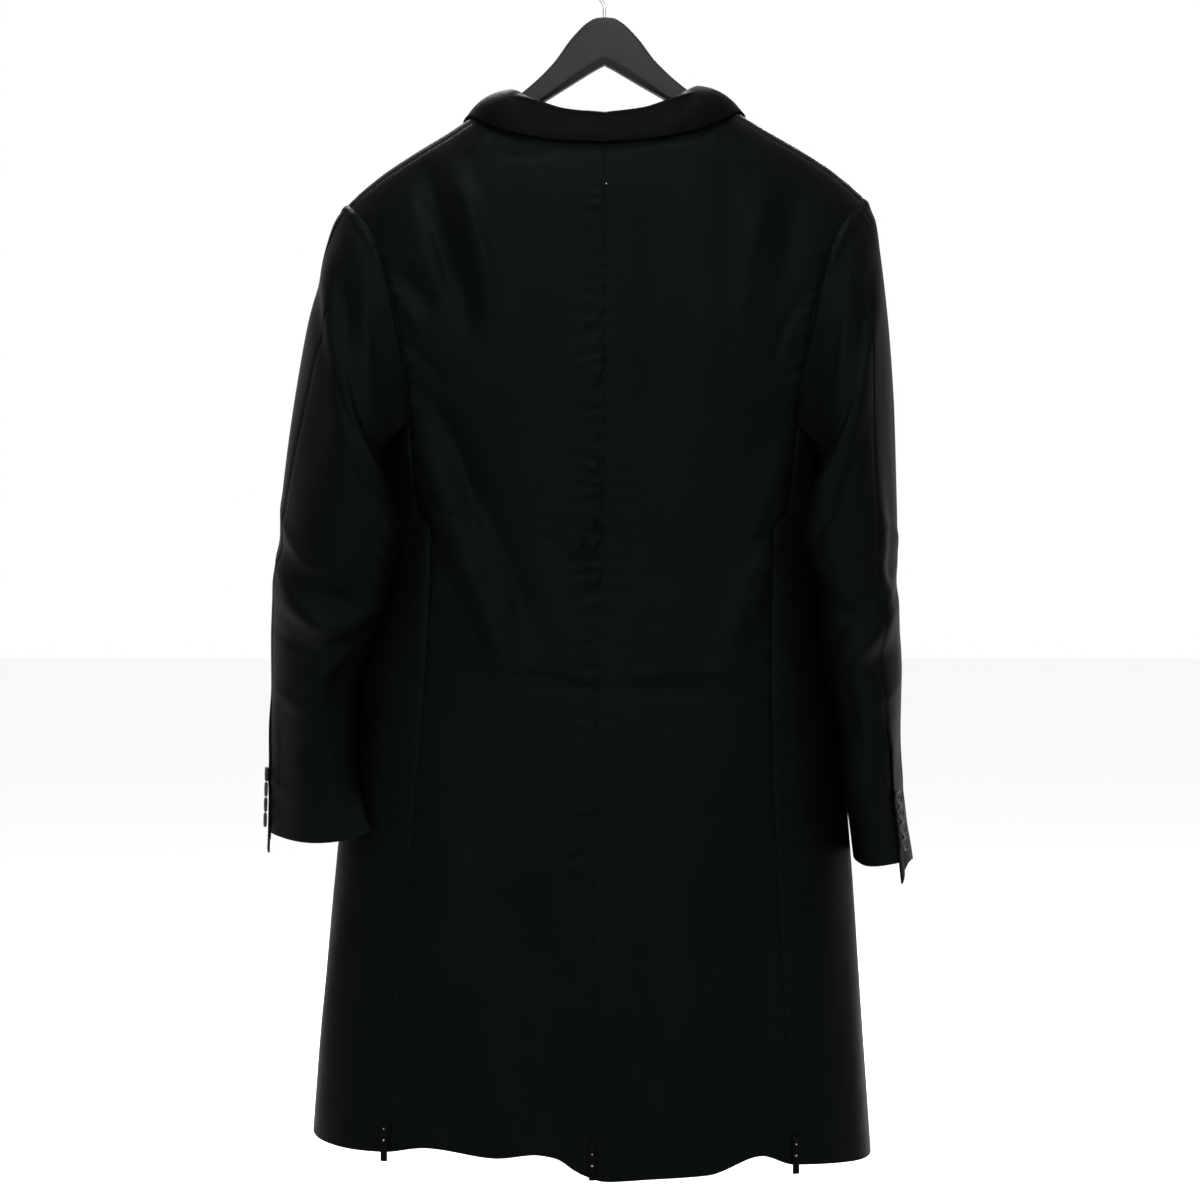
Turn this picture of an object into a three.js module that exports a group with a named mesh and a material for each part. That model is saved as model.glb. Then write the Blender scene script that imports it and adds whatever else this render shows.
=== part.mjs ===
// A chesterfield coat hanging on a plastic hanger.
// Millimetres, +Z up, front towards -Y, the wearer's left towards +X.
// The origin is the inside top of the hook's crook, where a rail carries it.
import * as THREE from 'three';

// Cloth and seams
const clothWall = 2;
const seamPull = 0.2;
const layerGap = 1.1;
const formPower = 2.5;

// Shoulders, chest and hem
const shoulderTilt = -0.018;
const backRoll = 140;
const frontRoll = 160;
const shoulderSeamDrop = 8;
const chestLevel = -450;
const armpitDepth = 36;
const neckSide = 100;
const neckDip = 62;

// Front closing
const overlap = 20;
const breakLevel = -582;
const rollTop = new THREE.Vector2(98, -150);
const underlap = 2.9;
const lapelFoot = { left: -574, right: -498 };
const lapelTop = -206;
const lapelPoint = new THREE.Vector2(158, -250);

// Hanger and hook
const hookInnerRadius = 18;
const wireRadius = 1.75;
const hangerTop = -62;

// Collar: the share of its half length at which it crosses the shoulder line
const crestStation = 0.6;
const collarGap = 1.4;
const collarFrontLevel = -203;
const collarStations = 30;
const collarBow = 5;
const foldRadius = 2.3;
const neckLift = 3.4;

// Buttons
const cuffButtonRadius = 7.1;
const cuffButtonHeight = 3;
const cuffButtonCount = 4;
const cuffButtonPitch = 14.6;
const cuffButtonInset = 0.45;
const cuffButtonLift = 3.6;
const frontButtonRadius = 11.5;
const frontButtonHeight = 4;
const frontButtonLift = 0.7;
const frontButtonLevels = [-600, -705, -810];
const buttonSegments = 14;

// Hem tabs, by their distance from the middle
const tabWidth = 6;
const tabLength = 34;
const tabWall = 1;
const tabLift = 1.6;
const tabBelowHem = { left: 8, centre: 1, right: 8 };
const tabPlaces = { left: 205, centre: 11.6, right: -177.5 };

// Sleeves: rings from armhole to cuff, and the seam points counted round the armhole
const sleeveRings = 19;
const ringSpread = 1.12;
const bodyClearance = 7;
const hindPoint = 4;
const forePoint = 14;
const foreSeamDegrees = 236;
const ventDegrees = { left: 23, right: 69 };
const lowestButton = { left: 10, right: 18 };
const ventTip = 20;
const ventLap = 3.9;
const hemSag = { left: 12, right: 9 };
const hemSagDegrees = { left: 90, right: 140 };

const clothBlack = new THREE.Color(0.018, 0.022, 0.024);

// The plain form of the body, from the shoulders to the hem
const bodyForm = [
  { z: -1200, centre: 12.5, half: 271, back: 104, front: 104 },
  { z: -1052, centre: 12.2, half: 261, back: 100, front: 102 },
  { z: -845, centre: 10.3, half: 244.5, back: 93, front: 99 },
  { z: -720, centre: 7, half: 233, back: 88, front: 97 },
  { z: -600, centre: 3.5, half: 226, back: 85, front: 95 },
  { z: -484, centre: 1.2, half: 233, back: 87, front: 96 },
  { z: -440, centre: 0.8, half: 248, back: 87, front: 95 },
  { z: -350, centre: 0.2, half: 296, back: 82, front: 88 },
  { z: -250, centre: 0, half: 320, back: 73, front: 74 },
  { z: -140, centre: 0, half: 330, back: 60, front: 62 },
];

// Height of the shoulder line over the distance from the middle
const shoulderLine = [
  { x: 0, z: -118 },
  { x: 60, z: -124 },
  { x: 100, z: -141 },
  { x: 130, z: -158 },
  { x: 153, z: -172.5 },
  { x: 176, z: -186 },
  { x: 200, z: -201 },
  { x: 216, z: -212 },
  { x: 246, z: -237.5 },
  { x: 300, z: -292 },
];

// Outer edge of each back panel: side-back seam with its jog, then the armhole
const backEdge = [
  { z: -1200, x: 194 },
  { z: -1140, x: 190 },
  { z: -900, x: 174 },
  { z: -700, x: 163 },
  { z: -554, x: 160 },
  { z: -538, x: 173 },
  { z: -500, x: 177 },
  { z: -450, x: 182 },
  { z: -426, x: 184.5 },
  { z: -395, x: 189 },
  { z: -360, x: 195.5 },
  { z: -322, x: 203.5 },
  { z: -291, x: 213.5 },
  { z: -264, x: 228 },
  { z: -243, x: 246 },
  { z: -230, x: 250 },
];

// Outer edge of each front panel: front seam, then the armhole
const frontEdge = [
  { z: -1200, x: 186 },
  { z: -900, x: 170 },
  { z: -700, x: 160 },
  { z: -520, x: 165 },
  { z: -450, x: 182 },
  { z: -410, x: 183 },
  { z: -360, x: 187 },
  { z: -310, x: 199 },
  { z: -270, x: 221 },
  { z: -243, x: 246 },
  { z: -230, x: 250 },
];

// Hem of the back half, from the wearer's right to left, as it hangs
const backHem = [
  { x: -262, z: -1147 },
  { x: -219, z: -1149 },
  { x: -175, z: -1146 },
  { x: -146, z: -1137 },
  { x: -94, z: -1153 },
  { x: -42, z: -1156 },
  { x: -2, z: -1158 },
  { x: 22, z: -1151 },
  { x: 46, z: -1137 },
  { x: 66, z: -1134 },
  { x: 100, z: -1137 },
  { x: 165, z: -1129 },
  { x: 210, z: -1135 },
  { x: 245, z: -1131 },
  { x: 282, z: -1121 },
];

// Hem of the front half
const frontHem = [
  { x: -262, z: -1147 },
  { x: -200, z: -1141 },
  { x: -120, z: -1146 },
  { x: 0, z: -1150 },
  { x: 120, z: -1144 },
  { x: 200, z: -1133 },
  { x: 282, z: -1121 },
];

// Largest folds of the body: a soft ridge (height above 0) or trough from one end to the other
const bodyFolds = [
  { face: 1, x0: 166, z0: -215, x1: 124, z1: -372, width: 13, height: -5.5 },
  { face: 1, x0: 148, z0: -205, x1: 104, z1: -350, width: 13, height: 3.5 },
  { face: 1, x0: 194, z0: -312, x1: 160, z1: -350, width: 11, height: -4 },
  { face: 1, x0: 178, z0: -452, x1: 84, z1: -702, width: 17, height: 6.5 },
  { face: 1, x0: 150, z0: -455, x1: 62, z1: -660, width: 15, height: -4 },
  { face: 1, x0: -43, z0: -236, x1: -44, z1: -470, width: 17, height: -3.5 },
  { face: 1, x0: -122, z0: -212, x1: -120, z1: -335, width: 13, height: -3.5 },
  { face: 1, x0: -178, z0: -225, x1: -150, z1: -372, width: 13, height: -5.5 },
  { face: 1, x0: -172, z0: -470, x1: -112, z1: -690, width: 16, height: 4.5 },
  { face: 1, x0: -150, z0: -697, x1: 92, z1: -700, width: 9, height: -2.5 },
  { face: 1, x0: 58, z0: -900, x1: 52, z1: -1150, width: 24, height: -6 },
  { face: 1, x0: -148, z0: -880, x1: -146, z1: -1145, width: 24, height: -5.5 },
  { face: 1, x0: -70, z0: -860, x1: -64, z1: -1150, width: 30, height: 4.5 },
  { face: 1, x0: 140, z0: -820, x1: 160, z1: -1130, width: 28, height: 4.5 },
  { face: -1, x0: 176, z0: -458, x1: 96, z1: -690, width: 18, height: 5.5 },
  { face: -1, x0: -176, z0: -462, x1: -92, z1: -710, width: 18, height: 5 },
  { face: -1, x0: 170, z0: -240, x1: 150, z1: -380, width: 15, height: -4.5 },
  { face: -1, x0: -172, z0: -236, x1: -148, z1: -370, width: 15, height: -4.5 },
  { face: -1, x0: 120, z0: -880, x1: 128, z1: -1140, width: 28, height: -5 },
  { face: -1, x0: -104, z0: -850, x1: -110, z1: -1140, width: 28, height: -5 },
  { face: -1, x0: 60, z0: -800, x1: 66, z1: -1140, width: 26, height: 3.5 },
];

// Sleeves, from the armhole to the cuff, at right angles to the photo's view and in depth.
// outer and inner are the two outlines, middle and depth place the oval front to back, and
// swing carries the inner side backwards, where it passes behind the body's side.
const leftSleeveForm = [
  { t: 0, outX: 246, outZ: -241, inX: 233, inZ: -486, middle: 0, depth: 74, swing: 0 },
  { t: 0.06, outX: 258, outZ: -258, inX: 224, inZ: -498, middle: 4, depth: 77, swing: 6 },
  { t: 0.14, outX: 270, outZ: -297, inX: 209, inZ: -516, middle: 10, depth: 80, swing: 22 },
  { t: 0.24, outX: 284, outZ: -365, inX: 196, inZ: -538, middle: 16, depth: 80, swing: 38 },
  { t: 0.34, outX: 296, outZ: -440, inX: 189, inZ: -561, middle: 20, depth: 78, swing: 46 },
  { t: 0.44, outX: 305, outZ: -515, inX: 195, inZ: -586, middle: 23, depth: 75, swing: 46 },
  { t: 0.54, outX: 312, outZ: -583, inX: 203, inZ: -617, middle: 24, depth: 71, swing: 44 },
  { t: 0.64, outX: 317, outZ: -648, inX: 216, inZ: -653, middle: 18, depth: 67, swing: 40 },
  { t: 0.76, outX: 318.5, outZ: -716, inX: 233, inZ: -708, middle: 4, depth: 64, swing: 34 },
  { t: 0.87, outX: 319.5, outZ: -776, inX: 230, inZ: -772, middle: -2, depth: 58, swing: 40 },
  { t: 1, outX: 322, outZ: -839, inX: 216, inZ: -835, middle: -2, depth: 50, swing: 62 },
];

const rightSleeveForm = [
  { t: 0, outX: 246, outZ: -232, inX: 233, inZ: -486, middle: 0, depth: 74, swing: 0 },
  { t: 0.06, outX: 258, outZ: -255, inX: 222, inZ: -498, middle: 4, depth: 77, swing: 6 },
  { t: 0.14, outX: 264.5, outZ: -298, inX: 205, inZ: -517, middle: 10, depth: 80, swing: 22 },
  { t: 0.24, outX: 272, outZ: -370, inX: 190, inZ: -540, middle: 16, depth: 80, swing: 40 },
  { t: 0.34, outX: 276.5, outZ: -450, inX: 185, inZ: -564, middle: 20, depth: 78, swing: 48 },
  { t: 0.44, outX: 277.5, outZ: -530, inX: 192, inZ: -590, middle: 24, depth: 75, swing: 48 },
  { t: 0.54, outX: 278, outZ: -600, inX: 200, inZ: -622, middle: 28, depth: 73, swing: 44 },
  { t: 0.64, outX: 281, outZ: -672, inX: 202, inZ: -672, middle: 30, depth: 71, swing: 40 },
  { t: 0.76, outX: 280, outZ: -746, inX: 219, inZ: -730, middle: 28, depth: 68, swing: 42 },
  { t: 0.87, outX: 283, outZ: -802, inX: 227, inZ: -784, middle: 22, depth: 66, swing: 46 },
  { t: 1, outX: 293, outZ: -866, inX: 236, inZ: -858, middle: 14, depth: 66, swing: 36 },
];

// Largest sleeve folds, by angle round the sleeve (0 outer, 90 back) and share of its length
const leftSleeveFolds = [
  { angle: 62, t: 0.13, turn: 34, length: 0.035, slope: 0.0006, height: -5 },
  { angle: 30, t: 0.2, turn: 30, length: 0.03, slope: 0.0009, height: -4 },
  { angle: 60, t: 0.55, turn: 55, length: 0.024, slope: 0.0008, height: -4.5 },
  { angle: 75, t: 0.61, turn: 55, length: 0.022, slope: 0.0007, height: 4.5 },
  { angle: 100, t: 0.68, turn: 42, length: 0.022, slope: -0.0008, height: -4 },
  { angle: 250, t: 0.6, turn: 60, length: 0.024, slope: -0.0006, height: -5 },
  { angle: 265, t: 0.68, turn: 50, length: 0.024, slope: 0.0005, height: -4.5 },
  { angle: 270, t: 0.25, turn: 45, length: 0.03, slope: -0.0006, height: -4 },
];

const rightSleeveFolds = [
  { angle: 58, t: 0.14, turn: 34, length: 0.035, slope: 0.0006, height: -4.5 },
  { angle: 110, t: 0.33, turn: 30, length: 0.03, slope: 0.0009, height: -3.5 },
  { angle: 50, t: 0.52, turn: 50, length: 0.026, slope: -0.0007, height: -4 },
  { angle: 80, t: 0.6, turn: 60, length: 0.024, slope: 0.0006, height: 4.5 },
  { angle: 90, t: 0.66, turn: 60, length: 0.024, slope: 0.0006, height: -4 },
  { angle: 260, t: 0.58, turn: 60, length: 0.024, slope: 0.0006, height: -5 },
  { angle: 275, t: 0.66, turn: 50, length: 0.024, slope: -0.0005, height: -4.5 },
  { angle: 270, t: 0.27, turn: 45, length: 0.03, slope: 0.0006, height: -4 },
];

// Collar stations from the middle back (0) to the front end (1), for the left half:
// base lies on the neckline, fold is the top edge, tip is the edge of the fall
const collarForm = [
  { s: 0, baseX: 0, foldX: 0, foldY: 38, foldZ: -165, tipX: 0, tipZ: -193 },
  { s: 0.2, baseX: 38, foldX: 36, foldY: 35, foldZ: -160, tipX: 42, tipZ: -190 },
  { s: 0.38, baseX: 74, foldX: 66, foldY: 26, foldZ: -147, tipX: 84, tipZ: -182 },
  { s: 0.5, baseX: 94, foldX: 86.5, foldY: 15.5, foldZ: -135, tipX: 116, tipZ: -167 },
  { s: 0.6, baseX: 99, foldX: 91.5, foldY: 0, foldZ: -131.5, tipX: 129, tipZ: -157 },
  { s: 0.72, baseX: 98, foldX: 91, foldY: -19, foldZ: -138, tipX: 137, tipZ: -170 },
  { s: 0.86, baseX: 92, foldX: 86, foldY: -38, foldZ: -164, tipX: 142, tipZ: -192 },
  { s: 1, baseX: 85, foldX: 80, foldY: -52, foldZ: -194, tipX: 146, tipZ: -216 },
];

// Hanger profile over the distance from the middle
const hangerForm = [
  { x: 0, top: -62, bottom: -108, depth: 7 },
  { x: 7, top: -62.6, bottom: -112, depth: 7 },
  { x: 14, top: -65.8, bottom: -116, depth: 7.2 },
  { x: 29, top: -81, bottom: -125, depth: 7.6 },
  { x: 47.5, top: -105, bottom: -136, depth: 8.2 },
  { x: 66, top: -123.4, bottom: -147, depth: 9 },
  { x: 81, top: -135.5, bottom: -156, depth: 9 },
  { x: 92, top: -144, bottom: -163, depth: 9 },
  { x: 104, top: -150.5, bottom: -171, depth: 10 },
  { x: 130, top: -161.2, bottom: -187, depth: 11.5 },
  { x: 176, top: -189.4, bottom: -216, depth: 13 },
  { x: 205, top: -208, bottom: -234, depth: 13.5 },
  { x: 219, top: -219, bottom: -240, depth: 11.5 },
  { x: 225, top: -226, bottom: -237, depth: 5 },
];

// Reads one column of a table between its rows, smooth and without overshoot
function readTable(table, key, name, at) {
  const rows = table[0][key] < table[table.length - 1][key] ? table : [...table].reverse();
  const last = rows.length - 1;
  if (at <= rows[0][key]) return rows[0][name];
  if (at >= rows[last][key]) return rows[last][name];
  let i = 0;
  while (at > rows[i + 1][key]) i += 1;
  const slopeOver = (k) => (rows[k + 1][name] - rows[k][name]) / (rows[k + 1][key] - rows[k][key]);
  const slopeAt = (k) => {
    if (k === 0) return slopeOver(0);
    if (k === last) return slopeOver(last - 1);
    const before = slopeOver(k - 1);
    const after = slopeOver(k);
    return before * after <= 0 ? 0 : (2 * before * after) / (before + after);
  };
  const span = rows[i + 1][key] - rows[i][key];
  const f = (at - rows[i][key]) / span;
  const f2 = f * f;
  const f3 = f2 * f;
  return (2 * f3 - 3 * f2 + 1) * rows[i][name]
    + (f3 - 2 * f2 + f) * span * slopeAt(i)
    + (3 * f2 - 2 * f3) * rows[i + 1][name]
    + (f3 - f2) * span * slopeAt(i + 1);
}

function mix(a, b, f) {
  return a + (b - a) * f;
}

function smooth(low, high, at) {
  const f = THREE.MathUtils.clamp((at - low) / (high - low), 0, 1);
  return f * f * (3 - 2 * f);
}

function centreAt(z) {
  return readTable(bodyForm, 'z', 'centre', z);
}

function crestAt(x) {
  return readTable(shoulderLine, 'x', 'z', Math.abs(x)) + shoulderTilt * x;
}

function depthAt(face, z) {
  return readTable(bodyForm, 'z', face > 0 ? 'back' : 'front', z);
}

// How full the body is at a drop below the shoulder line: 0 on the line, 1 past the roll
function rollShare(face, drop) {
  const roll = face > 0 ? backRoll : frontRoll;
  if (drop >= roll) return 1;
  return Math.sqrt(Math.max(0, 1 - (1 - Math.max(drop, 0) / roll) ** 2));
}

// A point of the plain form, face 1 for the back and -1 for the front
function formPoint(face, x, z) {
  const share = Math.min(Math.abs(x - centreAt(z)) / readTable(bodyForm, 'z', 'half', z), 1);
  const reach = (1 - share ** formPower) ** (1 / formPower);
  const drop = crestAt(x) - z;
  return new THREE.Vector3(x, face * depthAt(face, z) * reach * rollShare(face, drop), z);
}

// A point of the plain form at the body's side, by its angle from the side
function sideFormPoint(side, angle, z) {
  const face = angle >= 0 ? 1 : -1;
  const out = Math.cos(angle) ** (2 / formPower);
  const deep = Math.abs(Math.sin(angle)) ** (2 / formPower);
  const x = centreAt(z) + side * readTable(bodyForm, 'z', 'half', z) * out;
  return new THREE.Vector3(x, face * depthAt(face, z) * deep, z);
}

function sideAngle(face, x, z) {
  const share = Math.min(Math.abs(x - centreAt(z)) / readTable(bodyForm, 'z', 'half', z), 1);
  return face * Math.acos(share ** (formPower / 2));
}

// The outward normal of the plain form, from the slope of its level function
function formNormal(p) {
  const level = (x, y, z) => {
    const face = y >= 0 ? 1 : -1;
    const share = Math.abs(x - centreAt(z)) / readTable(bodyForm, 'z', 'half', z);
    const depth = depthAt(face, z);
    if (z < -400) return share ** formPower + (Math.abs(y) / depth) ** formPower;
    const reach = (1 - Math.min(share, 0.999) ** formPower) ** (1 / formPower);
    const roll = face > 0 ? backRoll : frontRoll;
    const rise = Math.max(0, 1 - (crestAt(x) - z) / roll);
    return (y / (depth * reach)) ** 2 + rise ** 2;
  };
  const step = 0.5;
  return new THREE.Vector3(
    level(p.x + step, p.y, p.z) - level(p.x - step, p.y, p.z),
    level(p.x, p.y + step, p.z) - level(p.x, p.y - step, p.z),
    level(p.x, p.y, p.z + step) - level(p.x, p.y, p.z - step),
  ).normalize();
}

// Height of the body's folds at a place
function foldHeight(folds, face, x, z) {
  let height = 0;
  for (const fold of folds) {
    if (fold.face !== face) continue;
    const alongX = fold.x1 - fold.x0;
    const alongZ = fold.z1 - fold.z0;
    const length = Math.hypot(alongX, alongZ);
    const along = ((x - fold.x0) * alongX + (z - fold.z0) * alongZ) / length;
    const across = ((x - fold.x0) * alongZ - (z - fold.z0) * alongX) / length;
    const fade = smooth(-0.15, 0.25, along / length) * smooth(1.15, 0.75, along / length);
    height += fold.height * fade * Math.exp(-((across / fold.width) ** 2));
  }
  return height;
}

// A point on the cloth's outer face, with its normal
function clothPoint(base, lift) {
  const normal = formNormal(base);
  const face = base.y >= 0 ? 1 : -1;
  const edgeFade = smooth(2, 24, Math.abs(base.y));
  const height = foldHeight(bodyFolds, face, base.x, base.z) * edgeFade + lift;
  return { at: base.clone().addScaledVector(normal, height), normal };
}

// Pulls the border of a grid of points in, so that neighbouring pieces stay apart at a seam
function pullIn(grid, amount) {
  const rows = grid.length;
  const columns = grid[0].length;
  const moved = grid.map((row) => row.map((point) => point.at.clone()));
  const pull = (spot, next, before, after) => {
    const step = next.at.clone().sub(grid[spot[0]][spot[1]].at);
    const along = after.at.clone().sub(before.at).normalize();
    step.addScaledVector(along, -step.dot(along)).normalize();
    moved[spot[0]][spot[1]].addScaledVector(step, amount);
  };
  for (let r = 0; r < rows; r += 1) {
    const before = grid[Math.max(r - 1, 0)];
    const after = grid[Math.min(r + 1, rows - 1)];
    const last = columns - 1;
    pull([r, 0], grid[r][1], before[0], after[0]);
    pull([r, last], grid[r][last - 1], before[last], after[last]);
  }
  for (let c = 0; c < columns; c += 1) {
    const before = Math.max(c - 1, 0);
    const after = Math.min(c + 1, columns - 1);
    const last = rows - 1;
    pull([0, c], grid[1][c], grid[0][before], grid[0][after]);
    pull([last, c], grid[last - 1][c], grid[last][before], grid[last][after]);
  }
  return grid.map((row, r) => row.map((point, c) => ({ at: moved[r][c], normal: point.normal })));
}

// A closed wall from a grid of outer points and their normals
function wallFromGrid(grid, thickness) {
  const rows = grid.length;
  const columns = grid[0].length;
  const outer = grid.map((row) => row.map((point) => point.at));
  const within = (point) => point.at.clone().addScaledVector(point.normal, -thickness);
  const inner = grid.map((row) => row.map(within));
  const positions = [];
  const index = [];
  const number = (layer, r, c) => (layer * rows + r) * columns + c;
  for (const layer of [outer, inner]) {
    for (const row of layer) {
      for (const point of row) positions.push(point.x, point.y, point.z);
    }
  }
  const face = (a, b, c, d) => index.push(a, b, c, a, c, d);
  for (let r = 0; r < rows - 1; r += 1) {
    for (let c = 0; c < columns - 1; c += 1) {
      face(number(0, r, c), number(0, r, c + 1), number(0, r + 1, c + 1), number(0, r + 1, c));
      face(number(1, r, c), number(1, r + 1, c), number(1, r + 1, c + 1), number(1, r, c + 1));
    }
    face(number(0, r, 0), number(0, r + 1, 0), number(1, r + 1, 0), number(1, r, 0));
    const e = columns - 1;
    face(number(0, r, e), number(1, r, e), number(1, r + 1, e), number(0, r + 1, e));
  }
  for (let c = 0; c < columns - 1; c += 1) {
    const e = rows - 1;
    face(number(0, 0, c), number(1, 0, c), number(1, 0, c + 1), number(0, 0, c + 1));
    face(number(0, e, c), number(0, e, c + 1), number(1, e, c + 1), number(1, e, c));
  }
  return solidFrom(positions, index);
}

// A geometry with its faces pointing out, whichever way its grid ran
function solidFrom(positions, index) {
  const corner = (k) => new THREE.Vector3().fromArray(positions, index[k] * 3);
  let volume = 0;
  for (let k = 0; k < index.length; k += 3) {
    volume += corner(k).dot(corner(k + 1).cross(corner(k + 2)));
  }
  if (volume < 0) {
    for (let k = 0; k < index.length; k += 3) [index[k], index[k + 1]] = [index[k + 1], index[k]];
  }
  const geometry = new THREE.BufferGeometry();
  geometry.setAttribute('position', new THREE.Float32BufferAttribute(positions, 3));
  geometry.setIndex(index);
  return geometry;
}

function clothMaterial() {
  return new THREE.MeshStandardMaterial({ color: clothBlack, roughness: 0.82, metalness: 0 });
}

function plainMaterial(color, roughness, metalness) {
  return new THREE.MeshStandardMaterial({ color, roughness, metalness });
}

const coat = new THREE.Group();

function addPiece(name, geometry, material) {
  const piece = new THREE.Mesh(geometry, material);
  piece.name = name;
  coat.add(piece);
  return piece;
}

// Levels of the rows from the hem to the chest, closer together at the seam's jog
const lowerLevels = [
  -1140, -1080, -1010, -940, -870, -800, -730, -665, -605, -566, -554, -546, -538, -500, chestLevel,
];
const upperRows = 8;
const backColumns = 11;
const frontColumns = 9;
const sideColumns = 8;

function levelShare(k) {
  const lowest = lowerLevels[0];
  return (lowerLevels[k] - lowest) / (chestLevel - lowest);
}

// The drop below the shoulder line of a row above the chest, where share 1 is the seam
function dropAt(x, share, seamDrop) {
  const whole = crestAt(x) - chestLevel;
  const low = seamDrop / whole;
  return whole * (low + (1 - low) * (1 - Math.sin(share * Math.PI / 2)));
}

function hemAt(face, x) {
  return readTable(face > 0 ? backHem : frontHem, 'x', 'z', x);
}

// Finds where an edge crosses a row whose height depends on where the edge is
function meetEdge(edgeX, rowZ, start) {
  let x = start;
  for (let k = 0; k < 12; k += 1) x = edgeX(rowZ(x));
  return x;
}

// The back's top edge dips from the shoulder seam to the middle of the neck
function backTopDrop(x) {
  const share = 1 - smooth(0, neckSide, Math.abs(x));
  return mix(shoulderSeamDrop, neckDip, share ** 0.8);
}

function backEdgeX(side, z) {
  return centreAt(z) * smooth(-300, -450, z) + side * readTable(backEdge, 'z', 'x', z);
}

function frontEdgeX(side, z) {
  return centreAt(z) * smooth(-300, -450, z) + side * readTable(frontEdge, 'z', 'x', z);
}

function backGrid(side) {
  const columns = backColumns;
  const rowZ = [];
  for (let k = 0; k < lowerLevels.length; k += 1) {
    rowZ.push((x) => mix(hemAt(1, x), chestLevel, levelShare(k)));
  }
  for (let k = 1; k <= upperRows; k += 1) {
    rowZ.push((x) => crestAt(x) - dropAt(x, k / upperRows, backTopDrop(x)));
  }
  return rowZ.map((heightAt) => {
    const edge = meetEdge((z) => backEdgeX(side, z), heightAt, side * 200);
    const row = [];
    for (let c = 0; c <= columns; c += 1) {
      const middle = centreAt(heightAt(0));
      const x = mix(middle, edge, (c / columns) ** 0.92);
      row.push(clothPoint(formPoint(1, x, heightAt(x)), 0));
    }
    return row;
  });
}

// The inner edge of a front: the lapped edge up to the break, then the roll line
function rollX(side, z) {
  const share = THREE.MathUtils.clamp((z - breakLevel) / (rollTop.y - breakLevel), 0, 1);
  return side * mix(-overlap, rollTop.x, share);
}

function frontGrid(side) {
  const columns = frontColumns;
  const rowZ = [];
  for (let k = 0; k < lowerLevels.length; k += 1) {
    rowZ.push({ face: -1, heightAt: (x) => mix(hemAt(-1, x), chestLevel, levelShare(k)) });
  }
  for (let k = 1; k <= upperRows; k += 1) {
    rowZ.push({ face: -1, heightAt: (x) => crestAt(x) - dropAt(x, k / upperRows, 0) });
  }
  for (const drop of [shoulderSeamDrop * 0.25, shoulderSeamDrop]) {
    rowZ.push({ face: 1, heightAt: (x) => crestAt(x) - drop });
  }
  return rowZ.map(({ face, heightAt }) => {
    const edgeAt = face < 0 ? frontEdgeX : backEdgeX;
    const edge = meetEdge((z) => edgeAt(side, z), heightAt, side * 200);
    const start = meetEdge((z) => rollX(side, z), heightAt, side * 60);
    const row = [];
    for (let c = 0; c <= columns; c += 1) {
      const x = mix(start, edge, c / columns);
      const under = side < 0 && face < 0 ? -underlap * smooth(-36, -22.5, x) : 0;
      row.push(clothPoint(formPoint(face, x, heightAt(x)), under));
    }
    return row;
  });
}

function sideGrid(side) {
  const columns = sideColumns;
  const rows = lowerLevels.length;
  const grid = [];
  for (let r = 0; r < rows; r += 1) {
    const row = [];
    for (let c = 0; c <= columns; c += 1) {
      const f = c / columns;
      const topZ = chestLevel - armpitDepth * Math.sin(Math.PI * f) ** 0.8;
      const hemX = mix(side * 262, side * 190, Math.abs(2 * f - 1)) + centreAt(-1140);
      const hemFace = f <= 0.5 ? 1 : -1;
      let z = mix(hemAt(hemFace, hemX), topZ, levelShare(r));
      if (c === 0) {
        const heightAt = (x) => mix(hemAt(1, x), chestLevel, levelShare(r));
        z = heightAt(meetEdge((level) => backEdgeX(side, level), heightAt, side * 190));
      }
      if (c === columns) {
        const heightAt = (x) => mix(hemAt(-1, x), chestLevel, levelShare(r));
        z = heightAt(meetEdge((level) => frontEdgeX(side, level), heightAt, side * 190));
      }
      const from = sideAngle(1, backEdgeX(side, z), z);
      const to = sideAngle(-1, frontEdgeX(side, z), z);
      row.push(clothPoint(sideFormPoint(side, mix(from, to, f), z), 0));
    }
    grid.push(row);
  }
  return grid;
}

// The armhole's ring of points, from the shoulder seam down the back, under the arm and up the front,
// each with the direction that leads away from its panel
function armholeLoop(back, sidePanel, front) {
  const chestRow = lowerLevels.length - 1;
  const loop = [];
  const push = (grid, r, c, r2, c2) => {
    const point = grid[r][c];
    const away = point.at.clone().sub(grid[r2][c2].at).normalize();
    loop.push({ at: point.at, normal: point.normal, away });
  };
  for (let r = back.length - 1; r > chestRow; r -= 1) push(back, r, backColumns, r, backColumns - 1);
  for (let c = 0; c <= sideColumns; c += 1) push(sidePanel, chestRow, c, chestRow - 1, c);
  for (let r = chestRow + 1; r < front.length - 1; r += 1) {
    push(front, r, frontColumns, r, frontColumns - 1);
  }
  return loop;
}

function sleevePlan(form, side, t) {
  const read = (name) => readTable(form, 't', name, t);
  return {
    outer: new THREE.Vector3(side * read('outX'), 0, read('outZ')),
    inner: new THREE.Vector3(side * read('inX'), 0, read('inZ')),
    middle: read('middle'),
    depth: read('depth'),
    swing: read('swing'),
  };
}

function sleeveFormPoint(plan, angle) {
  const centre = plan.outer.clone().add(plan.inner).multiplyScalar(0.5);
  const arm = plan.outer.clone().sub(plan.inner).multiplyScalar(0.5);
  const point = centre.addScaledVector(arm, Math.cos(angle));
  const sine = Math.sin(angle);
  const inward = ((1 - Math.cos(angle)) / 2) ** 1.5;
  const fade = 1 + 0.7 * Math.min(0, sine) - 0.35 * Math.max(0, sine);
  point.y = plan.middle + plan.depth * sine + plan.swing * inward * fade;
  return point;
}

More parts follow.
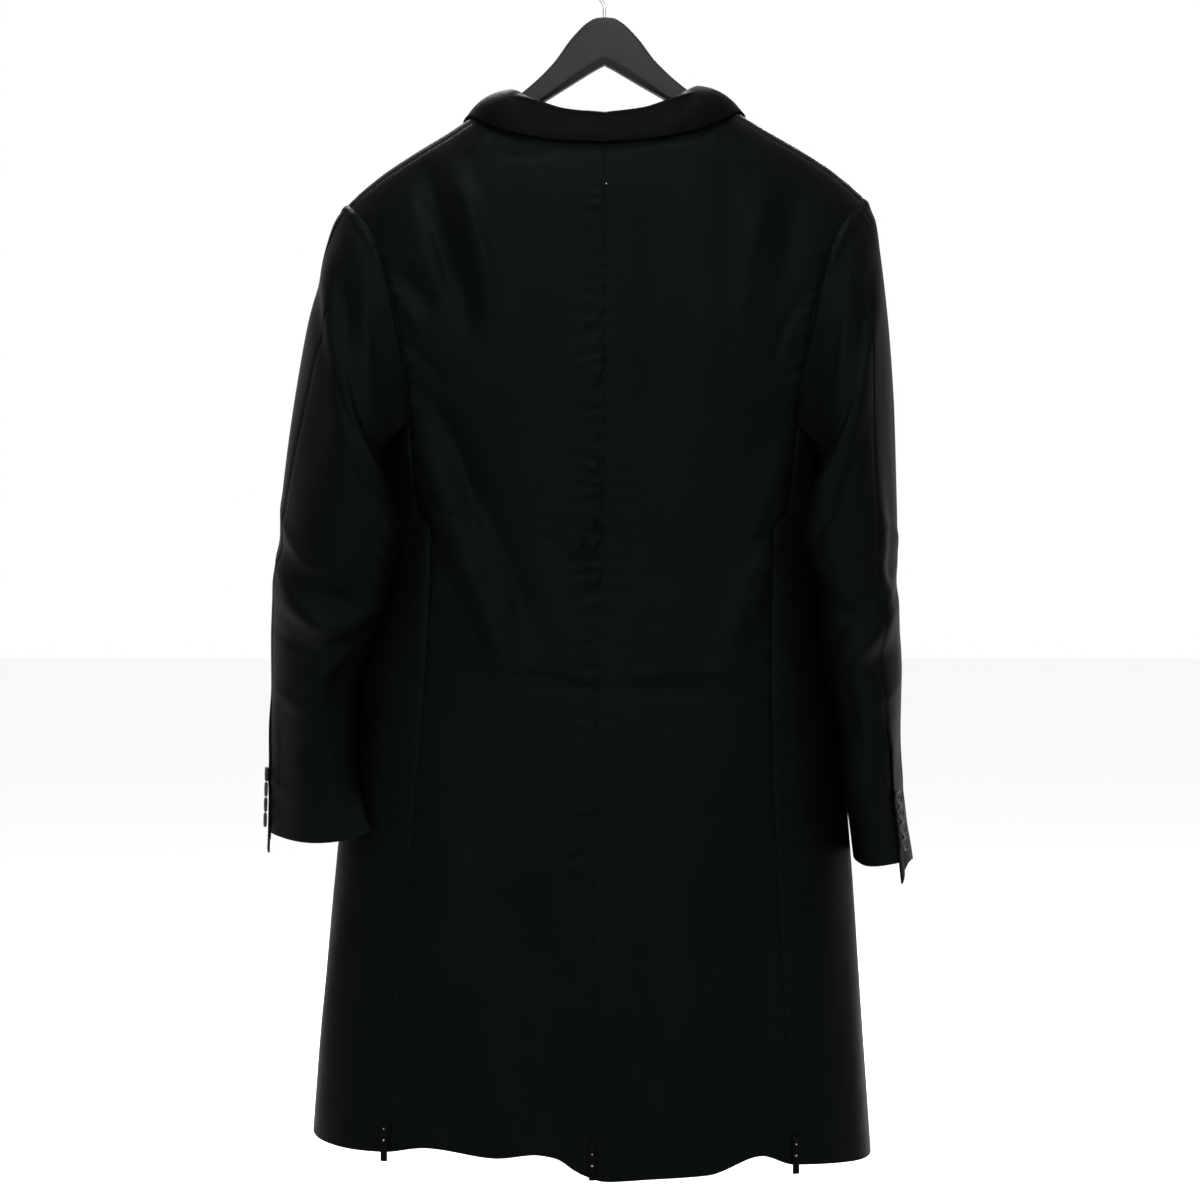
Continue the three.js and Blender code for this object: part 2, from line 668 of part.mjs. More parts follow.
// Moves a sleeve point out of the body, to a clearance from its side
function clearOfBody(point, clearance) {
  const z = Math.min(point.z, chestLevel);
  const centre = centreAt(z);
  const across = (point.x - centre) / (readTable(bodyForm, 'z', 'half', z) + clearance);
  const depth = depthAt(point.y >= 0 ? 1 : -1, z) + clearance;
  const level = (Math.abs(across) ** formPower + Math.abs(point.y / depth) ** formPower)
    ** (1 / formPower);
  if (level >= 1) return point;
  return new THREE.Vector3(centre + (point.x - centre) / level, point.y / level, point.z);
}

// The sleeve's rings of outer points with normals
function sleeveGrid(name, side, form, folds, loop) {
  const count = loop.length;
  const first = sleevePlan(form, side, 0);
  const centre = first.outer.clone().add(first.inner).multiplyScalar(0.5);
  const arm = first.outer.clone().sub(first.inner).multiplyScalar(0.5);
  const loopAngles = loop.map((point) => {
    const along = point.at.clone().sub(centre);
    along.y = 0;
    return Math.atan2((point.at.y - first.middle) / first.depth, along.dot(arm) / arm.lengthSq());
  });
  for (let i = 1; i < count; i += 1) {
    while (loopAngles[i] < loopAngles[i - 1]) loopAngles[i] += Math.PI * 2;
  }
  const residue = loop.map((point, i) => point.at.clone().sub(sleeveFormPoint(first, loopAngles[i])));
  const ventAngle = THREE.MathUtils.degToRad(ventDegrees[name]);
  const foreAngle = THREE.MathUtils.degToRad(foreSeamDegrees);
  const startAngle = ventAngle - Math.PI * 0.276;
  const cuffAngle = (i) => {
    if (i <= hindPoint) return mix(startAngle, ventAngle, i / hindPoint);
    if (i <= forePoint) return mix(ventAngle, foreAngle, (i - hindPoint) / (forePoint - hindPoint));
    return mix(foreAngle, startAngle + Math.PI * 2, (i - forePoint) / (count - forePoint));
  };
  const turnedAngle = (i, t) => mix(loopAngles[i], cuffAngle(i), smooth(0.02, 0.6, t));
  const rings = [];
  for (let k = 0; k <= sleeveRings; k += 1) {
    const t = (k / sleeveRings) ** ringSpread;
    const plan = sleevePlan(form, side, t);
    const hold = 1 - smooth(0, 0.2, t);
    rings.push(loop.map((point, i) => {
      if (k === 0) return point.at.clone().addScaledVector(point.away, seamPull);
      const spot = sleeveFormPoint(plan, turnedAngle(i, t)).addScaledVector(residue[i], hold);
      return clearOfBody(spot, bodyClearance * smooth(0, 0.06, t));
    }));
  }
  const normalAt = (k, i) => {
    const alongRing = rings[k][(i + 1) % count].clone().sub(rings[k][(i + count - 1) % count]);
    const down = rings[Math.min(k + 1, sleeveRings)][i].clone().sub(rings[Math.max(k - 1, 0)][i]);
    return alongRing.cross(down).normalize().multiplyScalar(-side);
  };
  return rings.map((ring, k) => ring.map((spot, i) => {
    const normal = normalAt(k, i);
    if (k === 0) {
      const inward = normal.clone().negate();
      inward.addScaledVector(loop[i].away, Math.max(0, -inward.dot(loop[i].away)) + 0.02).normalize();
      return { at: spot, normal: inward.negate() };
    }
    const t = (k / sleeveRings) ** ringSpread;
    const degrees = THREE.MathUtils.radToDeg(turnedAngle(i, t));
    let height = 0;
    for (const fold of folds) {
      const apart = THREE.MathUtils.euclideanModulo(degrees - fold.angle + 180, 360) - 180;
      const along = (t - fold.t - fold.slope * apart) / fold.length;
      height += fold.height * Math.exp(-((apart / fold.turn) ** 2) - along ** 2);
    }
    const at = spot.clone().addScaledVector(normal, height);
    const fromSag = THREE.MathUtils.degToRad(degrees - hemSagDegrees[name]);
    at.z -= hemSag[name] * smooth(0.8, 1, t) * Math.max(0, Math.cos(fromSag)) ** 1.5;
    return { at, normal };
  }));
}

// A part of the sleeve between two of its seam points, with a tip at the cuff beside the vent
function sleevePart(grid, from, to, tip) {
  const count = grid[0].length;
  const part = grid.map((ring, k) => {
    const row = [];
    for (let i = from; i <= to; i += 1) {
      const { at, normal } = ring[i % count];
      const reach = smooth(sleeveRings - 2, sleeveRings, k) * [1, 0.45, 0.12][Math.min(to - i, 2)];
      const longer = to - i > 2 ? 0 : tip * reach;
      const lap = i === to ? ventLap * smooth(sleeveRings - 5, sleeveRings - 3, k) * Math.sign(tip) : 0;
      row.push({ at: at.clone().addScaledVector(normal, lap).add(new THREE.Vector3(0, 0, -longer)), normal });
    }
    return row;
  });
  return wallFromGrid(pullIn(part, seamPull), clothWall);
}

// A button with a raised rim, standing on a surface point
function buttonGeometry(radius, height) {
  const profile = [
    new THREE.Vector2(0, 0),
    new THREE.Vector2(radius * 0.86, 0),
    new THREE.Vector2(radius, height * 0.35),
    new THREE.Vector2(radius * 0.96, height * 0.85),
    new THREE.Vector2(radius * 0.78, height),
    new THREE.Vector2(radius * 0.6, height * 0.72),
    new THREE.Vector2(0, height * 0.66),
  ];
  return new THREE.LatheGeometry(profile, buttonSegments);
}

function addButton(name, spot, normal, radius, height, lift) {
  const button = addPiece(name, buttonGeometry(radius, height), plainMaterial(0x17181a, 0.28, 0));
  button.quaternion.setFromUnitVectors(new THREE.Vector3(0, 1, 0), normal);
  button.position.copy(spot).addScaledVector(normal, lift);
}

// The collar: stand, fold and fall as one wall, swept from one front end to the other
function collarGeometry() {
  const lines = [];
  for (let k = 0; k <= collarStations; k += 1) {
    const along = (2 * k) / collarStations - 1;
    const side = along < 0 ? -1 : 1;
    const s = Math.abs(along) ** 0.95;
    const read = (name) => readTable(collarForm, 's', name, s);
    const fold = new THREE.Vector3(side * read('foldX'), read('foldY'), read('foldZ'));
    fold.z += shoulderTilt * fold.x;
    lines.push({
      base: collarBase(side, s, read('baseX')),
      fold,
      tip: collarTip(side, s, read('tipX'), read('tipZ')),
      face: s <= crestStation ? 1 : -1,
    });
  }
  const grid = lines.map((line, k) => {
    const before = lines[Math.max(k - 1, 0)].fold;
    const after = lines[Math.min(k + 1, collarStations)].fold;
    return collarSection(line, after.clone().sub(before).normalize(), line.face);
  });
  return wallFromGrid(grid, clothWall);
}

// The neckline seam that carries the stand, just clear of the panels' top edges
function collarBase(side, s, x) {
  if (s <= crestStation) {
    const z = crestAt(side * x) - backTopDrop(x) * (1 - smooth(0.46, 0.6, s) * 0.9);
    const spot = clothPoint(formPoint(1, side * x, z), 0);
    const up = new THREE.Vector3(0, -0.25, 1).normalize();
    return spot.at.addScaledVector(spot.normal, -clothWall * 0.75).addScaledVector(up, neckLift);
  }
  const z = mix(crestAt(side * neckSide), collarFrontLevel, (s - crestStation) / (1 - crestStation));
  const edge = clothPoint(formPoint(-1, rollX(side, z), z), 0);
  return edge.at.addScaledVector(new THREE.Vector3(-side, 0, 0.6).normalize(), neckLift);
}

function collarTip(side, s, x, z) {
  const spotX = side * x;
  const level = Math.min(z + shoulderTilt * spotX, crestAt(spotX) - 0.4);
  const face = s <= crestStation ? 1 : -1;
  const spot = clothPoint(formPoint(face, spotX, level), 0);
  return spot.at.addScaledVector(spot.normal, clothWall + collarGap);
}

// Lifts a point of the fall until the wall lies just over the panel below it
function clearOfPanel(point, face) {
  if (point.z > crestAt(point.x) - 0.3) return point;
  const below = clothPoint(formPoint(face, point.x, point.z), 0);
  const gap = point.clone().sub(below.at).dot(below.normal);
  return point.addScaledVector(below.normal, Math.max(0, clothWall + collarGap - gap));
}

// One section: up the stand, over a small round fold, down the fall with a soft outward bow
function collarSection({ base, fold, tip }, along, face) {
  const out = tip.clone().sub(fold);
  out.addScaledVector(along, -out.dot(along)).normalize();
  const up = along.clone().cross(out).normalize();
  if (up.z < 0) up.negate();
  const spot = (outward, upward) => fold.clone().addScaledVector(out, outward).addScaledVector(up, upward);
  const standTop = spot(foldRadius * 1.2, -foldRadius * 2);
  const path = [0, 0.33, 0.67].map((f) => base.clone().lerp(standTop, f));
  path.push(standTop, spot(-foldRadius * 0.5, -foldRadius * 1.75), spot(-foldRadius, -foldRadius * 0.9));
  path.push(spot(-foldRadius * 0.4, -foldRadius * 0.15));
  for (const f of [0.1, 0.28, 0.46, 0.64, 0.82, 1]) {
    const bowed = fold.clone().lerp(tip, f).addScaledVector(up, collarBow * 4 * f * (1 - f));
    path.push(clearOfPanel(bowed, face));
  }
  return path.map((at, i) => {
    const before = path[Math.max(i - 1, 0)];
    const after = path[Math.min(i + 1, path.length - 1)];
    const normal = after.clone().sub(before).cross(along).normalize();
    if (i === path.length - 1 && normal.dot(up) < 0) normal.negate();
    return { at, normal };
  });
}

// A lapel lies turned out on its front, from the roll line to its notch and point
function lapelGeometry(side) {
  const rows = 10;
  const columns = 5;
  const low = side > 0 ? lapelFoot.left : lapelFoot.right;
  const grid = [];
  for (let r = 0; r <= rows; r += 1) {
    const f = r / rows;
    const row = [];
    const rollZ = mix(low, lapelTop, f);
    const inner = new THREE.Vector2(rollX(side, rollZ) + side * 0.3, rollZ);
    const lowInner = new THREE.Vector2(rollX(side, low) + side * 1.2, low);
    const point = new THREE.Vector2(side * lapelPoint.x, lapelPoint.y);
    const outer = lowInner.clone().lerp(point, f ** 0.9);
    outer.x += side * 10 * Math.sin(Math.PI * f);
    outer.x += side * 1.5 * (1 - f);
    for (let c = 0; c <= columns; c += 1) {
      const g = c / columns;
      const x = mix(inner.x, outer.x, g);
      const z = mix(inner.y, outer.y, g);
      const roll = 2.2 * Math.sin(Math.PI * Math.min(g * 1.6, 1)) * smooth(0, 0.3, f);
      row.push(clothPoint(formPoint(-1, x, z), clothWall + layerGap + roll));
    }
    grid.push(row);
  }
  return wallFromGrid(grid, clothWall);
}

// A short tape tab on the outside of the hem, centred on a seam
function tabGeometry(x, below) {
  const grid = [];
  for (let r = 0; r <= 3; r += 1) {
    const row = [];
    for (let c = 0; c <= 2; c += 1) {
      const spotX = x + tabWidth * (c / 2 - 0.5);
      const z = hemAt(1, x) - below + tabLength * (r / 3);
      row.push(clothPoint(formPoint(1, spotX, z), tabLift));
    }
    grid.push(row);
  }
  return wallFromGrid(grid, tabWall);
}

// The hanger: rounded sections from one shoulder end over the neck to the other
function hangerGeometry() {
  const corners = 12;
  const half = hangerForm.map((row) => row.x);
  const stations = [...half.slice(1).reverse().map((x) => -x), ...half];
  const positions = [];
  const index = [];
  for (const x of stations) {
    const read = (name) => readTable(hangerForm, 'x', name, Math.abs(x));
    const tilt = shoulderTilt * x * smooth(0, 60, Math.abs(x));
    const middle = (read('top') + read('bottom')) / 2 + tilt;
    const tall = (read('top') - read('bottom')) / 2;
    for (let k = 0; k < corners; k += 1) {
      const angle = (k / corners) * Math.PI * 2;
      positions.push(x, read('depth') * Math.cos(angle), middle + tall * Math.sin(angle));
    }
  }
  for (let s = 0; s < stations.length - 1; s += 1) {
    for (let k = 0; k < corners; k += 1) {
      const a = s * corners + k;
      const b = s * corners + ((k + 1) % corners);
      index.push(a, b, b + corners, a, b + corners, a + corners);
    }
  }
  const lastRing = (stations.length - 1) * corners;
  for (let k = 1; k < corners - 1; k += 1) {
    index.push(0, k + 1, k);
    index.push(lastRing, lastRing + k, lastRing + k + 1);
  }
  return solidFrom(positions, index);
}

// The hook: a straight shank, a bend to the side and an open crook over the rail
function hookGeometry() {
  const radius = hookInnerRadius + wireRadius;
  const points = [
    new THREE.Vector3(0, 0, hangerTop + 0.35),
    new THREE.Vector3(0, 0, -56),
    new THREE.Vector3(0.6, 0, -50),
    new THREE.Vector3(5, 0, -43),
    new THREE.Vector3(12.5, 0, -35.5),
  ];
  const fromAngle = THREE.MathUtils.degToRad(-32);
  const toAngle = THREE.MathUtils.degToRad(212);
  for (let k = 0; k <= 12; k += 1) {
    const angle = mix(fromAngle, toAngle, k / 12);
    points.push(new THREE.Vector3(radius * Math.cos(angle), 0, radius * Math.sin(angle) - hookInnerRadius));
  }
  const path = new THREE.CatmullRomCurve3(points, false, 'centripetal');
  const section = new THREE.Shape();
  section.absarc(0, 0, wireRadius, 0, Math.PI * 2, false);
  return new THREE.ExtrudeGeometry(section, {
    steps: 40,
    curveSegments: 4,
    bevelEnabled: false,
    extrudePath: path,
  });
}

function addBody() {
  const grids = {};
  for (const [name, side] of [['left', 1], ['right', -1]]) {
    grids[name] = { back: backGrid(side), side: sideGrid(side), front: frontGrid(side) };
    addPiece(`back_${name}`, wallFromGrid(pullIn(grids[name].back, seamPull), clothWall), clothMaterial());
    addPiece(`side_${name}`, wallFromGrid(pullIn(grids[name].side, seamPull), clothWall), clothMaterial());
    addPiece(`front_${name}`, wallFromGrid(pullIn(grids[name].front, seamPull), clothWall), clothMaterial());
    addPiece(`lapel_${name}`, lapelGeometry(side), clothMaterial());
  }
  return grids;
}

// A column of buttons beside the vent of a sleeve
function addCuffButtons(name, grid) {
  const last = grid.length - 1;
  const beside = (k) => grid[k][hindPoint].at.clone().lerp(grid[k][hindPoint - 1].at, cuffButtonInset);
  const line = [last, last - 1, last - 2, last - 3].map(beside);
  const up = line[3].clone().sub(line[0]).normalize();
  const normal = grid[last - 1][hindPoint - 1].normal.clone();
  normal.addScaledVector(up, -normal.dot(up)).normalize();
  for (let n = 0; n < cuffButtonCount; n += 1) {
    const spot = pointAlong(line, lowestButton[name] + n * cuffButtonPitch);
    addButton(`cuff_button_${name}_${n + 1}`, spot, normal, cuffButtonRadius, cuffButtonHeight, cuffButtonLift);
  }
}

// The point at a distance along a line of points
function pointAlong(points, reach) {
  let left = reach;
  for (let k = 0; k < points.length - 1; k += 1) {
    const length = points[k].distanceTo(points[k + 1]);
    if (left <= length) return points[k].clone().lerp(points[k + 1], left / length);
    left -= length;
  }
  return points[points.length - 1].clone();
}

function addFrontButtons() {
  frontButtonLevels.forEach((z, n) => {
    const spot = clothPoint(formPoint(-1, centreAt(z), z), frontButtonLift);
    addButton(`front_button_${n + 1}`, spot.at, spot.normal, frontButtonRadius, frontButtonHeight, 0);
  });
}

function addHemTabs() {
  for (const [place, x] of Object.entries(tabPlaces)) {
    addPiece(`hem_tab_${place}`, tabGeometry(x, tabBelowHem[place]), clothMaterial());
  }
}

function addSleeve(name, side, panels, form, folds) {
  const loop = armholeLoop(panels.back, panels.side, panels.front);
  const grid = sleeveGrid(name, side, form, folds, loop);
  addPiece(`sleeve_under_${name}`, sleevePart(grid, hindPoint, forePoint, 0), clothMaterial());
  addPiece(`sleeve_top_${name}`, sleevePart(grid, forePoint, loop.length + hindPoint, ventTip), clothMaterial());
  addCuffButtons(name, grid);
}

const grids = addBody();
addSleeve('left', 1, grids.left, leftSleeveForm, leftSleeveFolds);
addSleeve('right', -1, grids.right, rightSleeveForm, rightSleeveFolds);
addPiece('collar', collarGeometry(), clothMaterial());
addFrontButtons();
addHemTabs();
addPiece('hanger', hangerGeometry(), plainMaterial(0x3a3c3c, 0.45, 0));
addPiece('hook', hookGeometry(), plainMaterial(0xb8babc, 0.3, 1));

export default coat;
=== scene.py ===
import math
import bpy
import numpy as np
from mathutils import Matrix, Vector


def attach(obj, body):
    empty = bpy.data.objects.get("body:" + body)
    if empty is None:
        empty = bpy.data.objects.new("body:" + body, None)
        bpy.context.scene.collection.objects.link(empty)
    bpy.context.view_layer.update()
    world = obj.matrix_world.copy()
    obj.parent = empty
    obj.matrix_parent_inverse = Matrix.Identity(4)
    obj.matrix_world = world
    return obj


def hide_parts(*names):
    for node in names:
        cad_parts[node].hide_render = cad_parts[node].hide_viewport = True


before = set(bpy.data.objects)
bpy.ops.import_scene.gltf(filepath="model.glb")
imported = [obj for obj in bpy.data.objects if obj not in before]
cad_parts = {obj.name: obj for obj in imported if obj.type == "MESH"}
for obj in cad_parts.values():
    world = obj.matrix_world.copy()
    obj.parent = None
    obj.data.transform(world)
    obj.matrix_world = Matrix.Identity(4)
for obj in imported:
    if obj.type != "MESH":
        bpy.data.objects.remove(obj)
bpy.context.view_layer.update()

# A long coat hanging closed on a plastic hanger, seen from behind.
# Lengths below are in millimetres, and turn into metres where a mesh is made.

mm = 0.001
print("frame loaded")


# ---- curves and small helpers

def readTable(table, key, name, at):
    xs = np.array(table[key], float)
    ys = np.array(table[name], float)
    if xs[0] > xs[-1]:
        xs, ys = xs[::-1], ys[::-1]
    slope = np.diff(ys) / np.diff(xs)
    tangent = np.zeros(len(ys))
    tangent[0], tangent[-1] = slope[0], slope[-1]
    product = slope[:-1] * slope[1:]
    total = np.where(product > 0, slope[:-1] + slope[1:], 1)
    tangent[1:-1] = np.where(product > 0, 2 * product / total, 0)
    at = np.clip(np.asarray(at, float), xs[0], xs[-1])
    i = np.clip(np.searchsorted(xs, at, side="right") - 1, 0, len(xs) - 2)
    span = xs[i + 1] - xs[i]
    f = (at - xs[i]) / span
    f2, f3 = f * f, f * f * f
    return ((2 * f3 - 3 * f2 + 1) * ys[i] + (f3 - 2 * f2 + f) * span * tangent[i]
            + (3 * f2 - 2 * f3) * ys[i + 1] + (f3 - f2) * span * tangent[i + 1])


def mix(a, b, f):
    return a + (b - a) * f


def smooth(low, high, at):
    f = np.clip((np.asarray(at, float) - low) / (high - low), 0, 1)
    return f * f * (3 - 2 * f)


def unit(v):
    return v / np.maximum(np.linalg.norm(v, axis=-1, keepdims=True), 1e-9)


def curvePoint(p0, p1, p2, p3, f):                    # on a smooth curve, from p1 at 0 to p2 at 1
    return 0.5 * (2 * p1 + (p2 - p0) * f + (2 * p0 - 5 * p1 + 4 * p2 - p3) * f * f
                  + (3 * p1 - p0 - 3 * p2 + p3) * f ** 3)


def ripple(at, seed, shortest=9.0, longest=46.0):      # uneven waves along a line, about -1 to 1
    rng = np.random.default_rng(seed)
    total = 0
    for wave in np.geomspace(shortest, longest, 6):
        total = total + np.sin(at * (2 * math.pi / (wave * rng.uniform(0.85, 1.15))) + rng.uniform(0, 6.28))
    return total / 2.6


def undulate(u, v, seed, shortest=34.0, longest=150.0, upright=0.3):   # soft waves of hanging cloth
    rng = np.random.default_rng(seed)
    total = 0
    for wave in np.geomspace(shortest, longest, 9):
        lean = rng.uniform(-upright, upright)
        k = 2 * math.pi / wave
        phase = rng.uniform(0, 6.28)
        drift = 1.3 * np.sin(v / (wave * 3.1) + rng.uniform(0, 6.28))
        total = total + (wave / longest) ** 0.7 * np.sin(k * (u + lean * v) + phase + drift)
    return total / 2.2


# ---- the coat's form, the same as that of its solids

cloth = {"wall": 1.7, "gap": 0.08, "layer": 1.1, "power": 2.5, "valley": 1.0, "valleyWidth": 2.6}
shape = {"tilt": -0.018, "backRoll": 140, "frontRoll": 160, "seamDrop": 8, "chest": -450, "armpit": 36,
         "neckSide": 100, "neckDip": 62, "overlap": 20, "break": -582, "rollTop": (98, -150), "underlap": 2.9}

bodyForm = {
    "z": [-1200, -1052, -845, -720, -600, -484, -440, -350, -250, -140],
    "centre": [12.5, 12.2, 10.3, 7, 3.5, 1.2, 0.8, 0.2, 0, 0],
    "half": [271, 261, 244.5, 233, 226, 233, 248, 296, 320, 330],
    "back": [104, 100, 93, 88, 85, 87, 87, 82, 73, 60],
    "front": [104, 102, 99, 97, 95, 96, 95, 88, 74, 62],
}
shoulderLine = {
    "x": [0, 60, 100, 130, 153, 176, 200, 216, 246, 300],
    "z": [-118, -124, -141, -158, -172.5, -186, -201, -212, -237.5, -292],
}
backEdge = {
    "z": [-1200, -1140, -900, -700, -554, -538, -500, -450, -426, -395, -360, -322, -291, -264, -243, -230],
    "x": [194, 190, 174, 163, 160, 173, 177, 182, 184.5, 189, 195.5, 203.5, 213.5, 228, 246, 250],
}
frontEdge = {
    "z": [-1200, -900, -700, -520, -450, -410, -360, -310, -270, -243, -230],
    "x": [186, 170, 160, 165, 182, 183, 187, 199, 221, 246, 250],
}
backHem = {
    "x": [-262, -219, -175, -146, -94, -42, -2, 22, 46, 66, 100, 165, 210, 245, 282],
    "z": [-1147, -1149, -1146, -1137, -1153, -1156, -1158, -1151, -1137, -1134, -1137, -1129, -1135, -1131,
          -1121],
}
frontHem = {
    "x": [-262, -200, -120, 0, 120, 200, 282],
    "z": [-1147, -1141, -1146, -1150, -1144, -1133, -1121],
}

# Folds of the body, from one end to the other: height above 0 is a ridge, below 0 a trough.
# The first rows are in the solids too; bow bends a fold sideways and edge sharpens its profile.
foldColumns = ("face", "x0", "z0", "x1", "z1", "width", "height", "bow", "edge")
bodyFolds = [
    (1, 166, -215, 124, -372, 13, -5.5, 0, 2), (1, 148, -205, 104, -350, 13, 3.5, 0, 2),
    (1, 194, -312, 160, -350, 11, -4, 0, 2), (1, 178, -452, 84, -702, 17, 6.5, 0, 2),
    (1, 150, -455, 62, -660, 15, -4, 0, 2), (1, -43, -236, -50, -470, 22, -2.8, 5, 2),
    (1, -124, -205, -114, -350, 24, -2.4, -7, 2), (1, -178, -225, -150, -372, 17, -3.4, 5, 2),
    (1, -172, -470, -112, -690, 16, 4.5, 0, 2), (1, -150, -697, 92, -700, 7, -1.3, 5, 1.6),
    (1, 58, -900, 52, -1150, 24, -6, 0, 2), (1, -148, -880, -146, -1145, 24, -5.5, 0, 2),
    (1, -70, -860, -64, -1150, 30, 4.5, 0, 2), (1, 140, -820, 160, -1130, 28, 4.5, 0, 2),
    (-1, 176, -458, 96, -690, 18, 5.5, 0, 2), (-1, -176, -462, -92, -710, 18, 5, 0, 2),
    (-1, 170, -240, 150, -380, 15, -4.5, 0, 2), (-1, -172, -236, -148, -370, 15, -4.5, 0, 2),
    (-1, 120, -880, 128, -1140, 28, -5, 0, 2), (-1, -104, -850, -110, -1140, 28, -5, 0, 2),
    (-1, 60, -800, 66, -1140, 26, 3.5, 0, 2),
]


def centreAt(z):
    return readTable(bodyForm, "z", "centre", z)


def crestAt(x):
    return readTable(shoulderLine, "x", "z", np.abs(x)) + shape["tilt"] * x


def depthAt(face, z):
    return np.where(face > 0, readTable(bodyForm, "z", "back", z), readTable(bodyForm, "z", "front", z))


def formPoint(face, x, z):
    p = cloth["power"]
    share = np.minimum(np.abs(x - centreAt(z)) / readTable(bodyForm, "z", "half", z), 1)
    reach = (1 - share ** p) ** (1 / p)
    roll = np.where(face > 0, shape["backRoll"], shape["frontRoll"])
    drop = np.clip((crestAt(x) - z) / roll, 0, 1)
    full = np.sqrt(np.maximum(0, 1 - (1 - drop) ** 2))
    return np.stack([x + 0 * z, face * depthAt(face, z) * reach * full, z + 0 * x], -1)


def sideFormPoint(side, angle, z):
    out = np.cos(angle) ** (2 / cloth["power"])
    deep = np.abs(np.sin(angle)) ** (2 / cloth["power"])
    face = np.where(angle >= 0, 1, -1)
    x = centreAt(z) + side * readTable(bodyForm, "z", "half", z) * out
    return np.stack([x, face * depthAt(face, z) * deep, z + 0 * x], -1)


def sideAngle(face, x, z):
    share = np.minimum(np.abs(x - centreAt(z)) / readTable(bodyForm, "z", "half", z), 1)
    return face * np.arccos(share ** (cloth["power"] / 2))


def levelOf(p):
    x, y, z = p[..., 0], p[..., 1], p[..., 2]
    face = np.where(y >= 0, 1, -1)
    power = cloth["power"]
    share = np.abs(x - centreAt(z)) / readTable(bodyForm, "z", "half", z)
    depth = depthAt(face, z)
    low = share ** power + (np.abs(y) / depth) ** power
    reach = (1 - np.minimum(share, 0.999) ** power) ** (1 / power)
    roll = np.where(face > 0, shape["backRoll"], shape["frontRoll"])
    rise = np.maximum(0, 1 - (crestAt(x) - z) / roll)
    high = (y / (depth * reach)) ** 2 + rise ** 2
    return low, high


def formNormal(p):
    step = 0.5
    low, high = [], []
    for axis in range(3):
        move = np.zeros(3)
        move[axis] = step
        a, b = levelOf(p + move), levelOf(p - move)
        low.append(a[0] - b[0])
        high.append(a[1] - b[1])
    low, high = unit(np.stack(low, -1)), unit(np.stack(high, -1))
    return unit(mix(low, high, smooth(-430, -370, p[..., 2])[..., None]))


def foldHeight(folds, face, x, z):
    height = np.zeros(np.shape(x))
    for row in folds:
        fold = dict(zip(foldColumns, row))
        ax, az = fold["x1"] - fold["x0"], fold["z1"] - fold["z0"]
        length = math.hypot(ax, az)
        along = ((x - fold["x0"]) * ax + (z - fold["z0"]) * az) / length ** 2
        across = ((x - fold["x0"]) * az - (z - fold["z0"]) * ax) / length
        across = across - fold["bow"] * 4 * along * (1 - along)
        fade = smooth(-0.15, 0.25, along) * smooth(1.15, 0.75, along)
        height = height + np.where(face == fold["face"], fold["height"], 0) * fade * np.exp(
            -(np.abs(across) / fold["width"]) ** fold["edge"])
    return height


